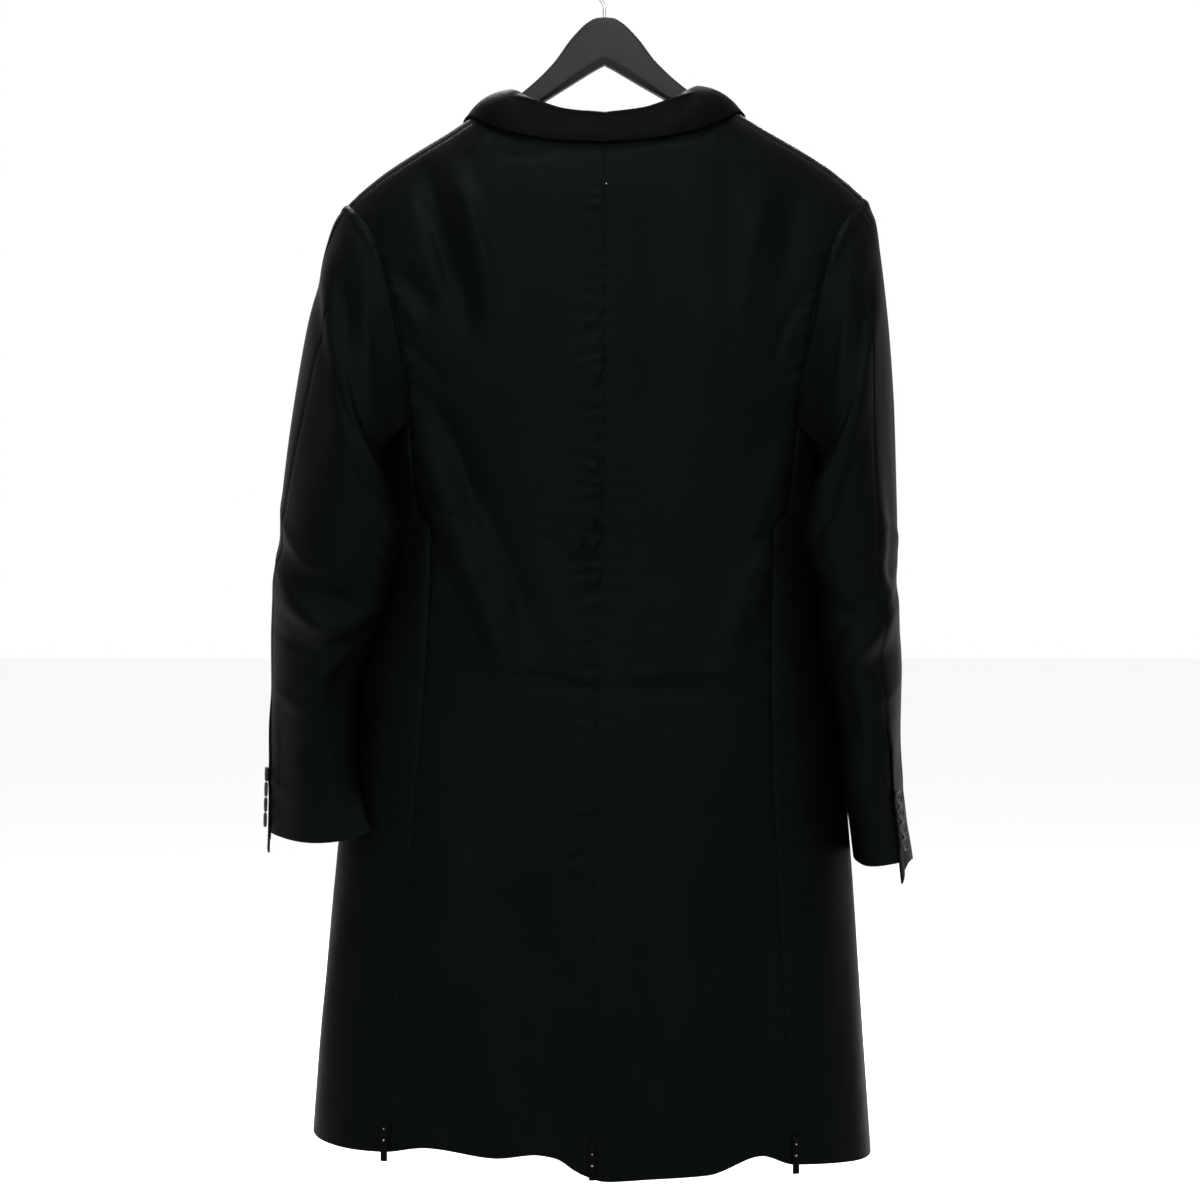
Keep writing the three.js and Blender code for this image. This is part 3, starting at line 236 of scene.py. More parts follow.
# Smaller creases, set beside the main folds
creases = [
    (1, 176, -240, 146, -330, 6, -2.2, 4, 1.4), (1, 128, -230, 96, -330, 7, 1.8, -5, 1.5),
    (1, 200, -330, 172, -372, 5, 1.8, 3, 1.4), (1, 188, -380, 150, -420, 5, -1.5, 3, 1.4),
    (1, 166, -430, 120, -560, 8, -2.2, 9, 1.5), (1, 186, -470, 150, -560, 7, 2.0, -6, 1.4),
    (1, 128, -520, 88, -640, 7, 2.0, 6, 1.4), (1, 150, -600, 116, -660, 6, -1.6, 5, 1.3),
    (1, 156, -540, 118, -556, 4.5, -1.4, 3, 1.3), (1, 150, -575, 112, -600, 4.5, 1.3, -3, 1.3),
    (1, 60, -560, 20, -600, 6, -1.5, 5, 1.4), (1, 44, -640, 12, -668, 5, 1.4, -4, 1.3),
    (1, 96, -690, 20, -700, 5, -1.6, 3, 1.3), (1, -20, -694, -150, -688, 5, 1.3, 4, 1.3),
    (1, -60, -704, -130, -712, 4.5, -1.1, -3, 1.3), (1, -96, -220, -88, -430, 16, 1.4, 8, 2),
    (1, -150, -250, -128, -360, 10, 1.2, -6, 1.8), (1, -190, -330, -158, -400, 6, -1.8, -4, 1.4),
    (1, -160, -520, -120, -600, 7, -1.8, 6, 1.4), (1, -166, -560, -140, -640, 6, 1.4, -5, 1.4),
    (1, 110, -182, 128, -196, 5, 1.4, 2, 1.5), (1, -112, -180, -140, -198, 5, -1.4, 2, 1.5),
    (1, 40, -196, 96, -204, 6, -1.2, 4, 1.6), (1, -38, -198, -104, -206, 6, 1.2, 4, 1.6),
    (1, 24, -860, 40, -1000, 12, -2.2, 6, 1.7), (1, 92, -980, 98, -1130, 14, 2.4, -5, 1.8),
    (1, -28, -950, -26, -1140, 14, -2.4, 5, 1.8), (1, -108, -960, -112, -1140, 14, 2.0, -6, 1.8),
    (1, 150, -1000, 156, -1120, 12, -2.2, 4, 1.8), (1, -170, -930, -176, -1130, 13, 2.2, 4, 1.8),
    (-1, 150, -470, 110, -600, 8, -2.2, 7, 1.5), (-1, -152, -480, -104, -610, 8, -2.2, 7, 1.5),
    (-1, 120, -540, 60, -604, 7, 1.8, 6, 1.4), (-1, -118, -548, -56, -606, 7, 1.8, 6, 1.4),
    (-1, 90, -640, 28, -612, 6, -1.4, 4, 1.4), (-1, -92, -650, -30, -616, 6, -1.4, 4, 1.4),
    (-1, 96, -720, 30, -708, 6, 1.3, 4, 1.4), (-1, -88, -730, -30, -712, 6, 1.2, 4, 1.4),
    (-1, 150, -760, 120, -900, 12, 2.2, 6, 1.7), (-1, -148, -740, -122, -900, 12, 2.4, 6, 1.7),
    (-1, 20, -860, 26, -1100, 14, -1.8, 5, 1.8), (-1, -50, -900, -54, -1130, 15, 2.2, -5, 1.8),
    (-1, 196, -300, 160, -350, 6, -2, 4, 1.4), (-1, -196, -300, -162, -346, 6, -2, 4, 1.4),
]


def bodyCloth(base, lift=0):
    normal = formNormal(base)
    x, z = base[..., 0], base[..., 2]
    face = np.where(base[..., 1] >= 0, 1, -1)
    fade = smooth(2, 24, np.abs(base[..., 1]))
    height = foldHeight(bodyFolds, face, x, z) + foldHeight(creases, face, x, z)
    calm = smooth(-150, -330, z) * 0.8 + 0.2
    broad = undulate(x * face, z, 11, 70, 210)
    fine = undulate(x * face, z, 12, 12, 40, 0.9)
    height = height + calm * 0.6 * broad + 0.08 * fine
    return base + normal * (height * fade + lift)[..., None], normal


def topDrop(x):
    return mix(shape["seamDrop"], shape["neckDip"], (1 - smooth(0, shape["neckSide"], np.abs(x))) ** 0.8)


def panelEdge(table, side, z):
    return centreAt(z) * smooth(-300, -450, z) + side * readTable(table, "z", "x", z)


def hemAt(face, x):
    return np.where(face > 0, readTable(backHem, "x", "z", x), readTable(frontHem, "x", "z", x))


def rowHeight(face, share, x, seamDrop):        # share 0 hem, 1 chest, 2 shoulder line
    low = mix(hemAt(face, x), shape["chest"], np.minimum(share, 1))
    whole = crestAt(x) - shape["chest"]
    up = seamDrop / whole
    high = crestAt(x) - whole * (up + (1 - up) * (1 - np.sin(np.clip(share - 1, 0, 1) * math.pi / 2)))
    return np.where(share <= 1, low, high)


def spread(count, dense=(0.006, 0.014, 0.026, 0.045)):     # grid lines, closer together beside the seams
    middle = np.linspace(0.075, 0.925, count)
    return np.concatenate([[0], dense, middle, 1 - np.array(dense[::-1]), [1]])


# ---- meshes

def makeMesh(name, verts, faces, uvs=None, slots=None, sharp=40):
    mesh = bpy.data.meshes.new(name)
    mesh.from_pydata((verts * mm).tolist(), [], faces.tolist() if hasattr(faces, "tolist") else faces)
    if uvs is not None:
        layer = mesh.uv_layers.new(name="cloth")
        index = np.zeros(len(mesh.loops), np.int32)
        mesh.loops.foreach_get("vertex_index", index)
        layer.data.foreach_set("uv", uvs[index].astype(np.float32).ravel())
    if slots is not None:
        mesh.polygons.foreach_set("material_index", slots)
    mesh.shade_smooth()
    mesh.set_sharp_from_angle(angle=math.radians(sharp))
    mesh.update()
    return mesh


def loftFaces(rows, count, flip=False):                # round rings joined in rows, with both ends closed
    number = np.arange(rows * count).reshape(rows, count)
    after = np.roll(number, -1, 1)
    faces = np.stack([number[:-1], after[:-1], after[1:], number[1:]], -1).reshape(-1, 4).tolist()
    faces = [tuple(face) for face in faces] + [tuple(number[0].tolist())[::-1], tuple(number[-1].tolist())]
    return [face[::-1] for face in faces] if flip else faces


def addPiece(name, mesh, materials, slot, *nodes):
    piece = bpy.data.objects.new(name, mesh)
    bpy.context.scene.collection.objects.link(piece)
    for material in materials:
        mesh.materials.append(material)
    if nodes:
        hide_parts(*nodes)
    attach(piece, "root")
    return piece


def gridSteps(grid):
    du = np.linalg.norm(np.diff(grid, axis=1), axis=-1)
    dv = np.linalg.norm(np.diff(grid, axis=0), axis=-1)
    u = np.concatenate([np.zeros((grid.shape[0], 1)), np.cumsum(du, 1)], 1)
    v = np.concatenate([np.zeros((1, grid.shape[1])), np.cumsum(dv, 0)], 0)
    return u, v


# Draws the border in and lets it dip at each sewn side
def seamed(outer, normal, sewn, pull=cloth["gap"]):
    u, v = gridSteps(outer)
    reach = {"left": u, "right": u[:, -1:] - u, "low": v, "high": v[-1:] - v}
    for sideName, distance in reach.items():
        if sideName in sewn:
            dip = cloth["valley"] * sewn[sideName] * np.exp(-(distance / cloth["valleyWidth"]) ** 1.6)
            outer = outer - normal * dip[..., None]
    moved = outer.copy()
    for axis, first, second in ((0, 0, 1), (0, -1, -2), (1, 0, 1), (1, -1, -2)):
        line = outer[first] if axis == 0 else outer[:, first]
        inward = (outer[second] if axis == 0 else outer[:, second]) - line
        along = unit(np.gradient(line, axis=0))
        inward = unit(inward - along * (inward * along).sum(-1, keepdims=True))
        if axis == 0:
            moved[first] += inward * pull
        else:
            moved[:, first] += inward * pull
    return moved


def makeShell(name, outer, normal, uvs, wall=None):
    wall = cloth["wall"] if wall is None else wall
    rows, columns = outer.shape[:2]
    count = rows * columns
    verts = np.concatenate([outer.reshape(-1, 3), (outer - normal * wall).reshape(-1, 3)])
    number = np.arange(count).reshape(rows, columns)
    quad = np.stack([number[:-1, :-1], number[:-1, 1:], number[1:, 1:], number[1:, :-1]], -1).reshape(-1, 4)
    faces = [quad, quad[:, ::-1] + count]
    for line in (number[0], number[-1][::-1], number[:, 0][::-1], number[:, -1]):
        faces.append(np.stack([line[1:], line[:-1], line[:-1] + count, line[1:] + count], -1))
    faces = np.concatenate(faces)
    a, b, c = verts[faces[:, 0]], verts[faces[:, 1]], verts[faces[:, 2]]
    d = verts[faces[:, 3]]
    volume = (a * np.cross(b, c)).sum() + (a * np.cross(c, d)).sum()
    if volume < 0:
        faces = faces[:, ::-1]
    flat = np.concatenate([uvs.reshape(-1, 2)] * 2) * mm
    return makeMesh(name, verts, faces, flat)


# ---- materials

def newMaterial(name):
    material = bpy.data.materials.new(name)
    material.use_nodes = True
    nodes = material.node_tree.nodes
    return material, nodes, material.node_tree.links, nodes["Principled BSDF"]


def addNode(nodes, kind, **values):
    node = nodes.new(kind)
    for key, value in values.items():
        if key in node.inputs:
            node.inputs[key].default_value = value
        else:
            setattr(node, key, value)
    return node


def clothFinish(name, look):
    material, nodes, links, bsdf = newMaterial(name)
    where = addNode(nodes, "ShaderNodeUVMap", uv_map="cloth")
    place = addNode(nodes, "ShaderNodeTexCoord")
    twist = addNode(nodes, "ShaderNodeMapping")
    twist.inputs["Rotation"].default_value = (0, 0, math.radians(look["twill"]))
    links.new(where.outputs["UV"], twist.inputs["Vector"])
    rib = addNode(nodes, "ShaderNodeTexWave", Scale=0.314 / look["rib"], Distortion=0.6, Detail=1.0)
    rib.inputs["Detail Scale"].default_value = 2.0
    cross = addNode(nodes, "ShaderNodeTexWave", Scale=0.314 / look["thread"], Distortion=0.4, Detail=1.0,
                    bands_direction="Y")
    links.new(twist.outputs["Vector"], rib.inputs["Vector"])
    links.new(where.outputs["UV"], cross.inputs["Vector"])
    weave = addNode(nodes, "ShaderNodeMath", operation="ADD")
    links.new(rib.outputs["Fac"], weave.inputs[0])
    links.new(cross.outputs["Fac"], weave.inputs[1])
    nap = addNode(nodes, "ShaderNodeTexNoise", Scale=look["napScale"], Detail=4.0, Roughness=0.65)
    links.new(place.outputs["Object"], nap.inputs["Vector"])
    broad = addNode(nodes, "ShaderNodeTexNoise", Scale=look["broadScale"], Detail=3.0, Roughness=0.5)
    links.new(place.outputs["Object"], broad.inputs["Vector"])
    blend = addNode(nodes, "ShaderNodeMath", operation="MULTIPLY_ADD")
    blend.inputs[1].default_value = 0.55
    links.new(nap.outputs["Fac"], blend.inputs[0])
    shade = addNode(nodes, "ShaderNodeMath", operation="MULTIPLY")
    shade.inputs[1].default_value = 0.45
    links.new(broad.outputs["Fac"], shade.inputs[0])
    links.new(shade.outputs[0], blend.inputs[2])
    tone = addNode(nodes, "ShaderNodeValToRGB")
    tone.color_ramp.elements[0].position = 0.3
    tone.color_ramp.elements[0].color = (*look["dark"], 1)
    tone.color_ramp.elements[1].position = 0.72
    tone.color_ramp.elements[1].color = (*look["light"], 1)
    links.new(blend.outputs[0], tone.inputs["Fac"])
    links.new(tone.outputs["Color"], bsdf.inputs["Base Color"])
    rough = addNode(nodes, "ShaderNodeMapRange")
    rough.inputs["To Min"].default_value, rough.inputs["To Max"].default_value = look["rough"]
    links.new(broad.outputs["Fac"], rough.inputs["Value"])
    links.new(rough.outputs["Result"], bsdf.inputs["Roughness"])
    fine = addNode(nodes, "ShaderNodeBump", Strength=look["weaveBump"], Distance=0.0002)
    links.new(weave.outputs[0], fine.inputs["Height"])
    soft = addNode(nodes, "ShaderNodeBump", Strength=look["napBump"], Distance=0.0006)
    links.new(nap.outputs["Fac"], soft.inputs["Height"])
    links.new(fine.outputs["Normal"], soft.inputs["Normal"])
    links.new(soft.outputs["Normal"], bsdf.inputs["Normal"])
    bsdf.inputs["Specular IOR Level"].default_value = look["specular"]
    bsdf.inputs["Specular Tint"].default_value = (*look["specularTint"], 1)
    return material


worstedLook = {
    "twill": 32, "rib": 0.0011, "thread": 0.0007, "napScale": 900, "broadScale": 14,
    "dark": (0.0004, 0.0005, 0.0005), "light": (0.0012, 0.0014, 0.0014), "rough": (0.36, 0.46),
    "weaveBump": 0.3, "napBump": 0.2, "specular": 0.018, "specularTint": (0.7, 0.98, 1.0)}
# The collar is the same worsted with its weave turned crosswise; its lower specular is painted shade, a
# darker copy of the cloth
crosswiseShadedLook = {"twill": 122, "rough": (0.4, 0.5), "specular": 0.009, "specularTint": (0.8, 1.0, 1.0)}
tapeLook = {
    "twill": 0, "rib": 0.0009, "thread": 0.0009, "napScale": 1200, "broadScale": 40,
    "dark": (0.0005, 0.0005, 0.0005), "light": (0.002, 0.002, 0.002), "rough": (0.6, 0.75),
    "weaveBump": 0.6, "napBump": 0.2, "specular": 0.015, "specularTint": (1, 1, 1)}
worsted = clothFinish("black_worsted", worstedLook)
crosswiseShadedCloth = clothFinish("black_worsted_crosswise_painted_shade", worstedLook | crosswiseShadedLook)
tapeCloth = clothFinish("hem_tape", tapeLook)
print("materials made")


# ---- body panels

panel = {"backRows": (250, 130), "frontRows": (170, 90), "columns": 62, "frontColumns": 56, "sideColumns": 40,
         "puckerReach": 20, "sideReach": 15}

# How strongly the centre-back seam puckers, by height
centrePucker = {
    "z": [-1160, -1000, -930, -880, -820, -740, -700, -650, -610, -560, -520, -480, -400, -310, -240, -180],
    "size": [0.3, 0.25, 0.5, 1.1, 0.5, 0.6, 1.5, 0.9, 1.5, 1.7, 1.9, 1.6, 1.2, 1.0, 0.5, 0.2],
}


def panelRows(low, high):                           # 0 hem, 1 chest, 2 shoulder line
    hem, top = [0, 0.0015, 0.004], [1.9965, 2]
    return np.concatenate([hem, np.linspace(0, 1, low)[1:-1], np.linspace(1, 2, high)[:-1], top])


def meetEdge(edgeX, heightAt, start):
    x = np.full(np.shape(start), 0.0) + start
    for _ in range(14):
        x = edgeX(heightAt(x))
    return x


def backPanel(side):
    share = panelRows(*panel["backRows"])
    u = spread(panel["columns"]) ** 0.96
    heightAt = lambda x: rowHeight(1, share, x, topDrop(x))
    edge = meetEdge(lambda z: panelEdge(backEdge, side, z), heightAt, side * 200.0 + 0 * share)
    middle = centreAt(heightAt(0 * share))
    x = middle[:, None] + (edge - middle)[:, None] * u[None, :]
    z = rowHeight(1, share[:, None], x, topDrop(x))
    outer, normal = bodyCloth(formPoint(1, x, z))
    fromMiddle = np.abs(x - middle[:, None])
    away = 2.0 if side > 0 else 0.4                 # the left panel puckers more, and both alike at the seam
    size = readTable(centrePucker, "z", "size", z) * mix(0.5, away, smooth(0, 9, fromMiddle))
    lines = z + fromMiddle * 0.35 * np.sin(z / 37)
    lumps = ripple(z + 1.6 * fromMiddle, 32, 11, 24) * np.sin(fromMiddle / 3.6 + 2.4 * ripple(z, 31, 20, 60))
    pucker = (0.5 * ripple(lines, 21, 10, 26) + 0.75 * lumps) * size
    pucker = pucker * np.exp(-(fromMiddle / panel["puckerReach"]) ** 1.5)
    fromEdge = np.abs(edge[:, None] - x)
    sideSize = 0.35 + 0.8 * smooth(-520, -560, z) * smooth(-760, -620, z)
    sideSize = sideSize + 0.6 * smooth(-460, -420, z) * smooth(-260, -340, z)
    sideWave = ripple(z + fromEdge * 0.3, 22 + side, 11, 44)
    pucker = pucker + sideSize * sideWave * np.exp(-fromEdge / panel["sideReach"])
    outer = outer + normal * pucker[..., None]
    outer = seamed(outer, normal, {"left": 0.55, "right": 1.0, "high": 0.6})
    return outer, normal, np.stack([x, z], -1)


def rollX(side, z):
    share = np.clip((z - shape["break"]) / (shape["rollTop"][1] - shape["break"]), 0, 1)
    return side * mix(-shape["overlap"], shape["rollTop"][0], share)


def frontPanel(side):
    share = panelRows(*panel["frontRows"])
    heightAt = lambda x: rowHeight(-1, share, x, 0)
    edge = meetEdge(lambda z: panelEdge(frontEdge, side, z), heightAt, side * 200.0 + 0 * share)
    start = meetEdge(lambda z: rollX(side, z), heightAt, side * 60.0 + 0 * share)
    u = spread(panel["frontColumns"])
    x = start[:, None] + (edge - start)[:, None] * u[None, :]
    z = rowHeight(-1, share[:, None], x, 0)
    under = -shape["underlap"] * smooth(-36, -22.5, x) if side < 0 else 0 * x
    outer, normal = bodyCloth(formPoint(-1, x, z), under)
    drops = np.array([0.5, 1, 2, 3.2, 4.6, 6.2, 7.2, 8.0])
    overHeight = lambda xx: crestAt(xx) - drops
    overEdge = meetEdge(lambda zz: panelEdge(backEdge, side, zz), overHeight, side * 200.0 + 0 * drops)
    overStart = meetEdge(lambda zz: rollX(side, zz), overHeight, side * 60.0 + 0 * drops)
    ox = overStart[:, None] + (overEdge - overStart)[:, None] * u[None, :]
    oz = crestAt(ox) - drops[:, None]
    overOuter, overNormal = bodyCloth(formPoint(1, ox, oz))
    outer = np.concatenate([outer, overOuter])
    normal = np.concatenate([normal, overNormal])
    uv = np.concatenate([np.stack([x, z], -1), np.stack([ox, crestAt(ox) + drops[:, None]], -1)])
    fromEdge = np.abs(outer[..., 0] - outer[:, -1:, 0])
    sideWave = ripple(outer[..., 2] + fromEdge * 0.3, 32 + side, 11, 44)
    outer = outer + normal * (0.4 * sideWave * np.exp(-fromEdge / panel["sideReach"]))[..., None]
    outer = seamed(outer, normal, {"right": 1.0, "high": 0.6})
    return outer, normal, uv


def sidePanel(side):
    share = panelRows(*panel["frontRows"])
    share = share[share <= 1]
    f = spread(panel["sideColumns"])
    armpit = shape["armpit"]
    topZ = shape["chest"] - armpit * np.sin(math.pi * f) ** 0.8
    hemX = mix(side * 262, side * 190, np.abs(2 * f - 1)) + centreAt(-1140)
    hem = np.where(f <= 0.5, hemAt(1, hemX), hemAt(-1, hemX))
    z = hem[None, :] + (topZ - hem)[None, :] * share[:, None]
    for column, face, table in ((0, 1, backEdge), (-1, -1, frontEdge)):
        heightAt = lambda x: rowHeight(face, share, x, 0)
        edgeAt = lambda zz: panelEdge(table, side, zz)
        z[:, column] = heightAt(meetEdge(edgeAt, heightAt, side * 190.0 + 0 * share))
    blendIn = np.exp(-(f / 0.12) ** 2)[None, :]
    z = z + blendIn * (z[:, :1] - (hem[0] + (topZ[0] - hem[0]) * share)[:, None]) * (f > 0)[None, :]
    first = sideAngle(1, panelEdge(backEdge, side, z), z)
    last = sideAngle(-1, panelEdge(frontEdge, side, z), z)
    angle = first + (last - first) * f[None, :]
    base = sideFormPoint(side, angle, z)
    outer, normal = bodyCloth(base)
    u = gridSteps(outer)[0]
    wave = 0.7 * undulate(u, z, 40 + side, 40, 140, 0.25) * smooth(0, 30, u) * smooth(0, 30, u[:, -1:] - u)
    pucker = 0.45 * ripple(z + u * 0.3, 22 + side, 11, 44) * np.exp(-u / panel["puckerReach"])
    outer = outer + normal * (wave + pucker)[..., None]
    outer = seamed(outer, normal, {"left": 1.0, "right": 1.0, "high": 0.6})
    return outer, normal, np.stack([u * side + 300 * side, z], -1)


sheets = {
    "back_left": ((0.225, 1.02), 0.185), "back_right": ((0.235, 1.02), 0.19),
    "front_left": ((0.26, 1.03), 0.19), "front_right": ((0.26, 1.03), 0.18),
    "side_left": ((0.25, 0.7), 0.155), "side_right": ((0.25, 0.7), 0.155),
    "lapel_left": ((0.11, 0.38), 0.02), "lapel_right": ((0.11, 0.31), 0.016),
    "collar": ((0.44, 0.1), 0.0345),
    "sleeve_top_left": ((0.28, 0.64), 0.102), "sleeve_under_left": ((0.21, 0.56), 0.104),
    "sleeve_top_right": ((0.28, 0.67), 0.119), "sleeve_under_right": ((0.21, 0.59), 0.083),
}


sewnOn = {name: [] for name in sheets}              # buttons, tabs, tacks and the painted glints on the tabs that go with each sheet


def addSheet(name, mesh, material=worsted):
    addPiece(f"{name}_cloth", mesh, [material], "coat_cloth", name)


for sideName, side in (("left", 1), ("right", -1)):
    for part, build in (("back", backPanel), ("front", frontPanel), ("side", sidePanel)):
        outer, normal, uv = build(side)
        addSheet(f"{part}_{sideName}", makeShell(f"{part}_{sideName}_cloth", outer, normal, uv))
print("body panels made")


# ---- sleeves

sleeve = {"rings": 132, "perPoint": 6, "spread": 1.12, "clear": 7, "hind": 4, "fore": 14, "loop": 26,
          "foreDegrees": 236, "roping": 1.6, "length": 620}
sleeveForms = {
    "left": {
        "t": [0, 0.06, 0.14, 0.24, 0.34, 0.44, 0.54, 0.64, 0.76, 0.87, 1],
        "outX": [246, 258, 270, 284, 296, 305, 312, 317, 318.5, 319.5, 322],
        "outZ": [-241, -258, -297, -365, -440, -515, -583, -648, -716, -776, -839],
        "inX": [233, 224, 209, 196, 189, 195, 203, 216, 233, 230, 216],
        "inZ": [-486, -498, -516, -538, -561, -586, -617, -653, -708, -772, -835],
        "middle": [0, 4, 10, 16, 20, 23, 24, 18, 4, -2, -2],
        "depth": [74, 77, 80, 80, 78, 75, 71, 67, 64, 58, 50],
        "swing": [0, 6, 22, 38, 46, 46, 44, 40, 34, 40, 62],
    },
    "right": {
        "t": [0, 0.06, 0.14, 0.24, 0.34, 0.44, 0.54, 0.64, 0.76, 0.87, 1],
        "outX": [246, 258, 264.5, 272, 276.5, 277.5, 278, 281, 280, 283, 293],
        "outZ": [-232, -255, -298, -370, -450, -530, -600, -672, -746, -802, -866],
        "inX": [233, 222, 205, 190, 185, 192, 200, 202, 219, 227, 236],
        "inZ": [-486, -498, -517, -540, -564, -590, -622, -672, -730, -784, -858],
        "middle": [0, 4, 10, 16, 20, 24, 28, 30, 28, 22, 14],
        "depth": [74, 77, 80, 80, 78, 75, 73, 71, 68, 66, 66],
        "swing": [0, 6, 22, 40, 48, 48, 44, 40, 42, 46, 36],
    },
}
cuff = {"vent": {"left": 23, "right": 69}, "sag": {"left": 12, "right": 9},
        "sagAt": {"left": 90, "right": 140}, "tip": 20, "lap": 3.9, "underLift": 1.9, "rings": 19,
        "lapRings": (14, 16), "tipRings": (17, 19)}

# Sleeve folds: angle round the sleeve (0 outer, 90 back), place along it, reach round and along, lean,
# height, and how strongly the line curves, which most rows leave at nothing
sleeveFoldColumns = ("angle", "t", "turn", "length", "slope", "height", "curve")
sleeveFolds = {
    "left": [
        (62, 0.13, 34, 0.035, 0.0006, -5), (30, 0.2, 30, 0.03, 0.0009, -4),
        (60, 0.55, 55, 0.024, 0.0008, -4.5), (75, 0.61, 55, 0.022, 0.0007, 4.5),
        (100, 0.68, 42, 0.022, -0.0008, -4), (250, 0.6, 60, 0.024, -0.0006, -5),
        (265, 0.68, 50, 0.024, 0.0005, -4.5), (270, 0.25, 45, 0.03, -0.0006, -4),
    ],
    "right": [
        (58, 0.14, 34, 0.035, 0.0006, -4.5), (110, 0.33, 30, 0.03, 0.0009, -3.5),
        (50, 0.52, 50, 0.026, -0.0007, -4), (80, 0.6, 60, 0.024, 0.0006, 4.5),
        (90, 0.66, 60, 0.024, 0.0006, -4), (260, 0.58, 60, 0.024, 0.0006, -5),
        (275, 0.66, 50, 0.024, -0.0005, -4.5), (270, 0.27, 45, 0.03, 0.0006, -4),
    ],
}
sleeveCreases = {
    "left": [
        (85, 0.1, 22, 0.014, 0.0012, 2.2), (100, 0.17, 20, 0.012, 0.001, -2),
        (118, 0.24, 22, 0.012, 0.0012, 1.8), (128, 0.3, 20, 0.01, 0.001, -1.6),
        (140, 0.36, 20, 0.01, 0.0008, 1.5), (40, 0.5, 34, 0.01, 0.0012, 1.8),
        (52, 0.575, 40, 0.009, 0.001, 2.4), (96, 0.63, 36, 0.009, -0.0012, 2.4),
        (120, 0.6, 26, 0.009, -0.001, -2), (66, 0.66, 34, 0.01, 0.0006, -1.8),
        (110, 0.72, 30, 0.011, -0.0012, 1.8), (60, 0.76, 30, 0.012, 0.0008, 1.4),
        (80, 0.84, 36, 0.014, -0.0004, -1.3), (30, 0.9, 34, 0.014, 0.0006, 1.2),
        (150, 0.46, 24, 0.01, 0.001, -1.8), (230, 0.52, 40, 0.012, -0.001, 2),
        (262, 0.64, 40, 0.01, 0.0006, 2.2), (290, 0.2, 30, 0.014, -0.0008, 2),
        (300, 0.72, 40, 0.012, 0.0006, -1.6), (250, 0.8, 40, 0.014, -0.0006, 1.4),
        (130, 0.25, 32, 0.13, 0, 8), (48, 0.3, 30, 0.16, 0, -4), (64, 0.12, 17, 0.05, 0.0006, -4),
        (90, 0.225, 15, 0.024, 0.0008, -3.5), (112, 0.33, 14, 0.014, 0.0012, -2.5),
        (108, 0.63, 40, 0.024, -0.0001, 7, 1.6e-5), (112, 0.575, 32, 0.03, 0, -7, 1.2e-5),
        (138, 0.73, 22, 0.07, -0.0016, -4),
    ],
    "right": [
        (84, 0.11, 22, 0.014, 0.0012, 2.2), (104, 0.19, 20, 0.012, 0.001, -2),
        (120, 0.26, 22, 0.012, 0.0012, 1.8), (132, 0.37, 20, 0.01, 0.001, -1.6),
        (36, 0.47, 34, 0.012, -0.0008, 2), (60, 0.56, 40, 0.01, 0.0008, 2.4),
        (108, 0.58, 26, 0.009, -0.001, -2), (100, 0.63, 34, 0.009, 0.001, 2.2),
        (60, 0.7, 34, 0.012, 0.0008, 1.8), (114, 0.73, 30, 0.011, -0.001, -1.6),
        (80, 0.8, 36, 0.014, 0.0005, 1.3), (40, 0.88, 34, 0.014, 0.0005, -1.2),
        (150, 0.45, 24, 0.01, 0.001, 1.8), (236, 0.53, 40, 0.012, 0.001, -2),
        (262, 0.62, 40, 0.01, -0.0006, 2.2), (292, 0.22, 30, 0.014, 0.0008, 2),
        (300, 0.74, 40, 0.012, -0.0006, -1.6), (250, 0.82, 40, 0.014, 0.0006, 1.4),
        (130, 0.25, 32, 0.13, 0, 8), (48, 0.3, 30, 0.16, 0, -4), (110, 0.35, 14, 0.014, 0.0012, -2.5),
        (150, 0.87, 46, 0.085, 0, 7), (60, 0.5, 13, 0.1, 0.001, 5.5),
        (108, 0.645, 36, 0.024, 0.0005, 6.5, 0.6e-5), (112, 0.585, 30, 0.03, 0.0005, -6.5),
        (135, 0.75, 22, 0.07, -0.0016, -4),
    ],
}


def sleevePlan(form, side, t):
    read = lambda name: readTable(form, "t", name, t)
    outer = np.stack([side * read("outX"), 0 * t, read("outZ")], -1)
    inner = np.stack([side * read("inX"), 0 * t, read("inZ")], -1)
    return outer, inner, read("middle"), read("depth"), read("swing")


def sleeveFormPoint(plan, angle):
    outer, inner, middle, depth, swing = plan
    cosine, sine = np.cos(angle), np.sin(angle)
    point = (outer + inner) / 2 + (outer - inner) / 2 * cosine[..., None]
    inward = ((1 - cosine) / 2) ** 1.5
    fade = 1 + 0.7 * np.minimum(0, sine) - 0.35 * np.maximum(0, sine)
    y = middle + depth * sine + swing * inward * fade
    return np.concatenate([point[..., :1], y[..., None], point[..., 2:]], -1)


def clearOfBody(point, clearance):
    z = np.minimum(point[..., 2], shape["chest"])
    centre = centreAt(z)
    p = cloth["power"]
    across = np.abs(point[..., 0] - centre) / (readTable(bodyForm, "z", "half", z) + clearance)
    deep = np.abs(point[..., 1]) / (depthAt(np.where(point[..., 1] >= 0, 1, -1), z) + clearance)
    level = np.minimum((across ** p + deep ** p) ** (1 / p), 1)
    level = np.maximum(level, 0.2)
    return np.stack([centre + (point[..., 0] - centre) / level, point[..., 1] / level, point[..., 2]], -1)


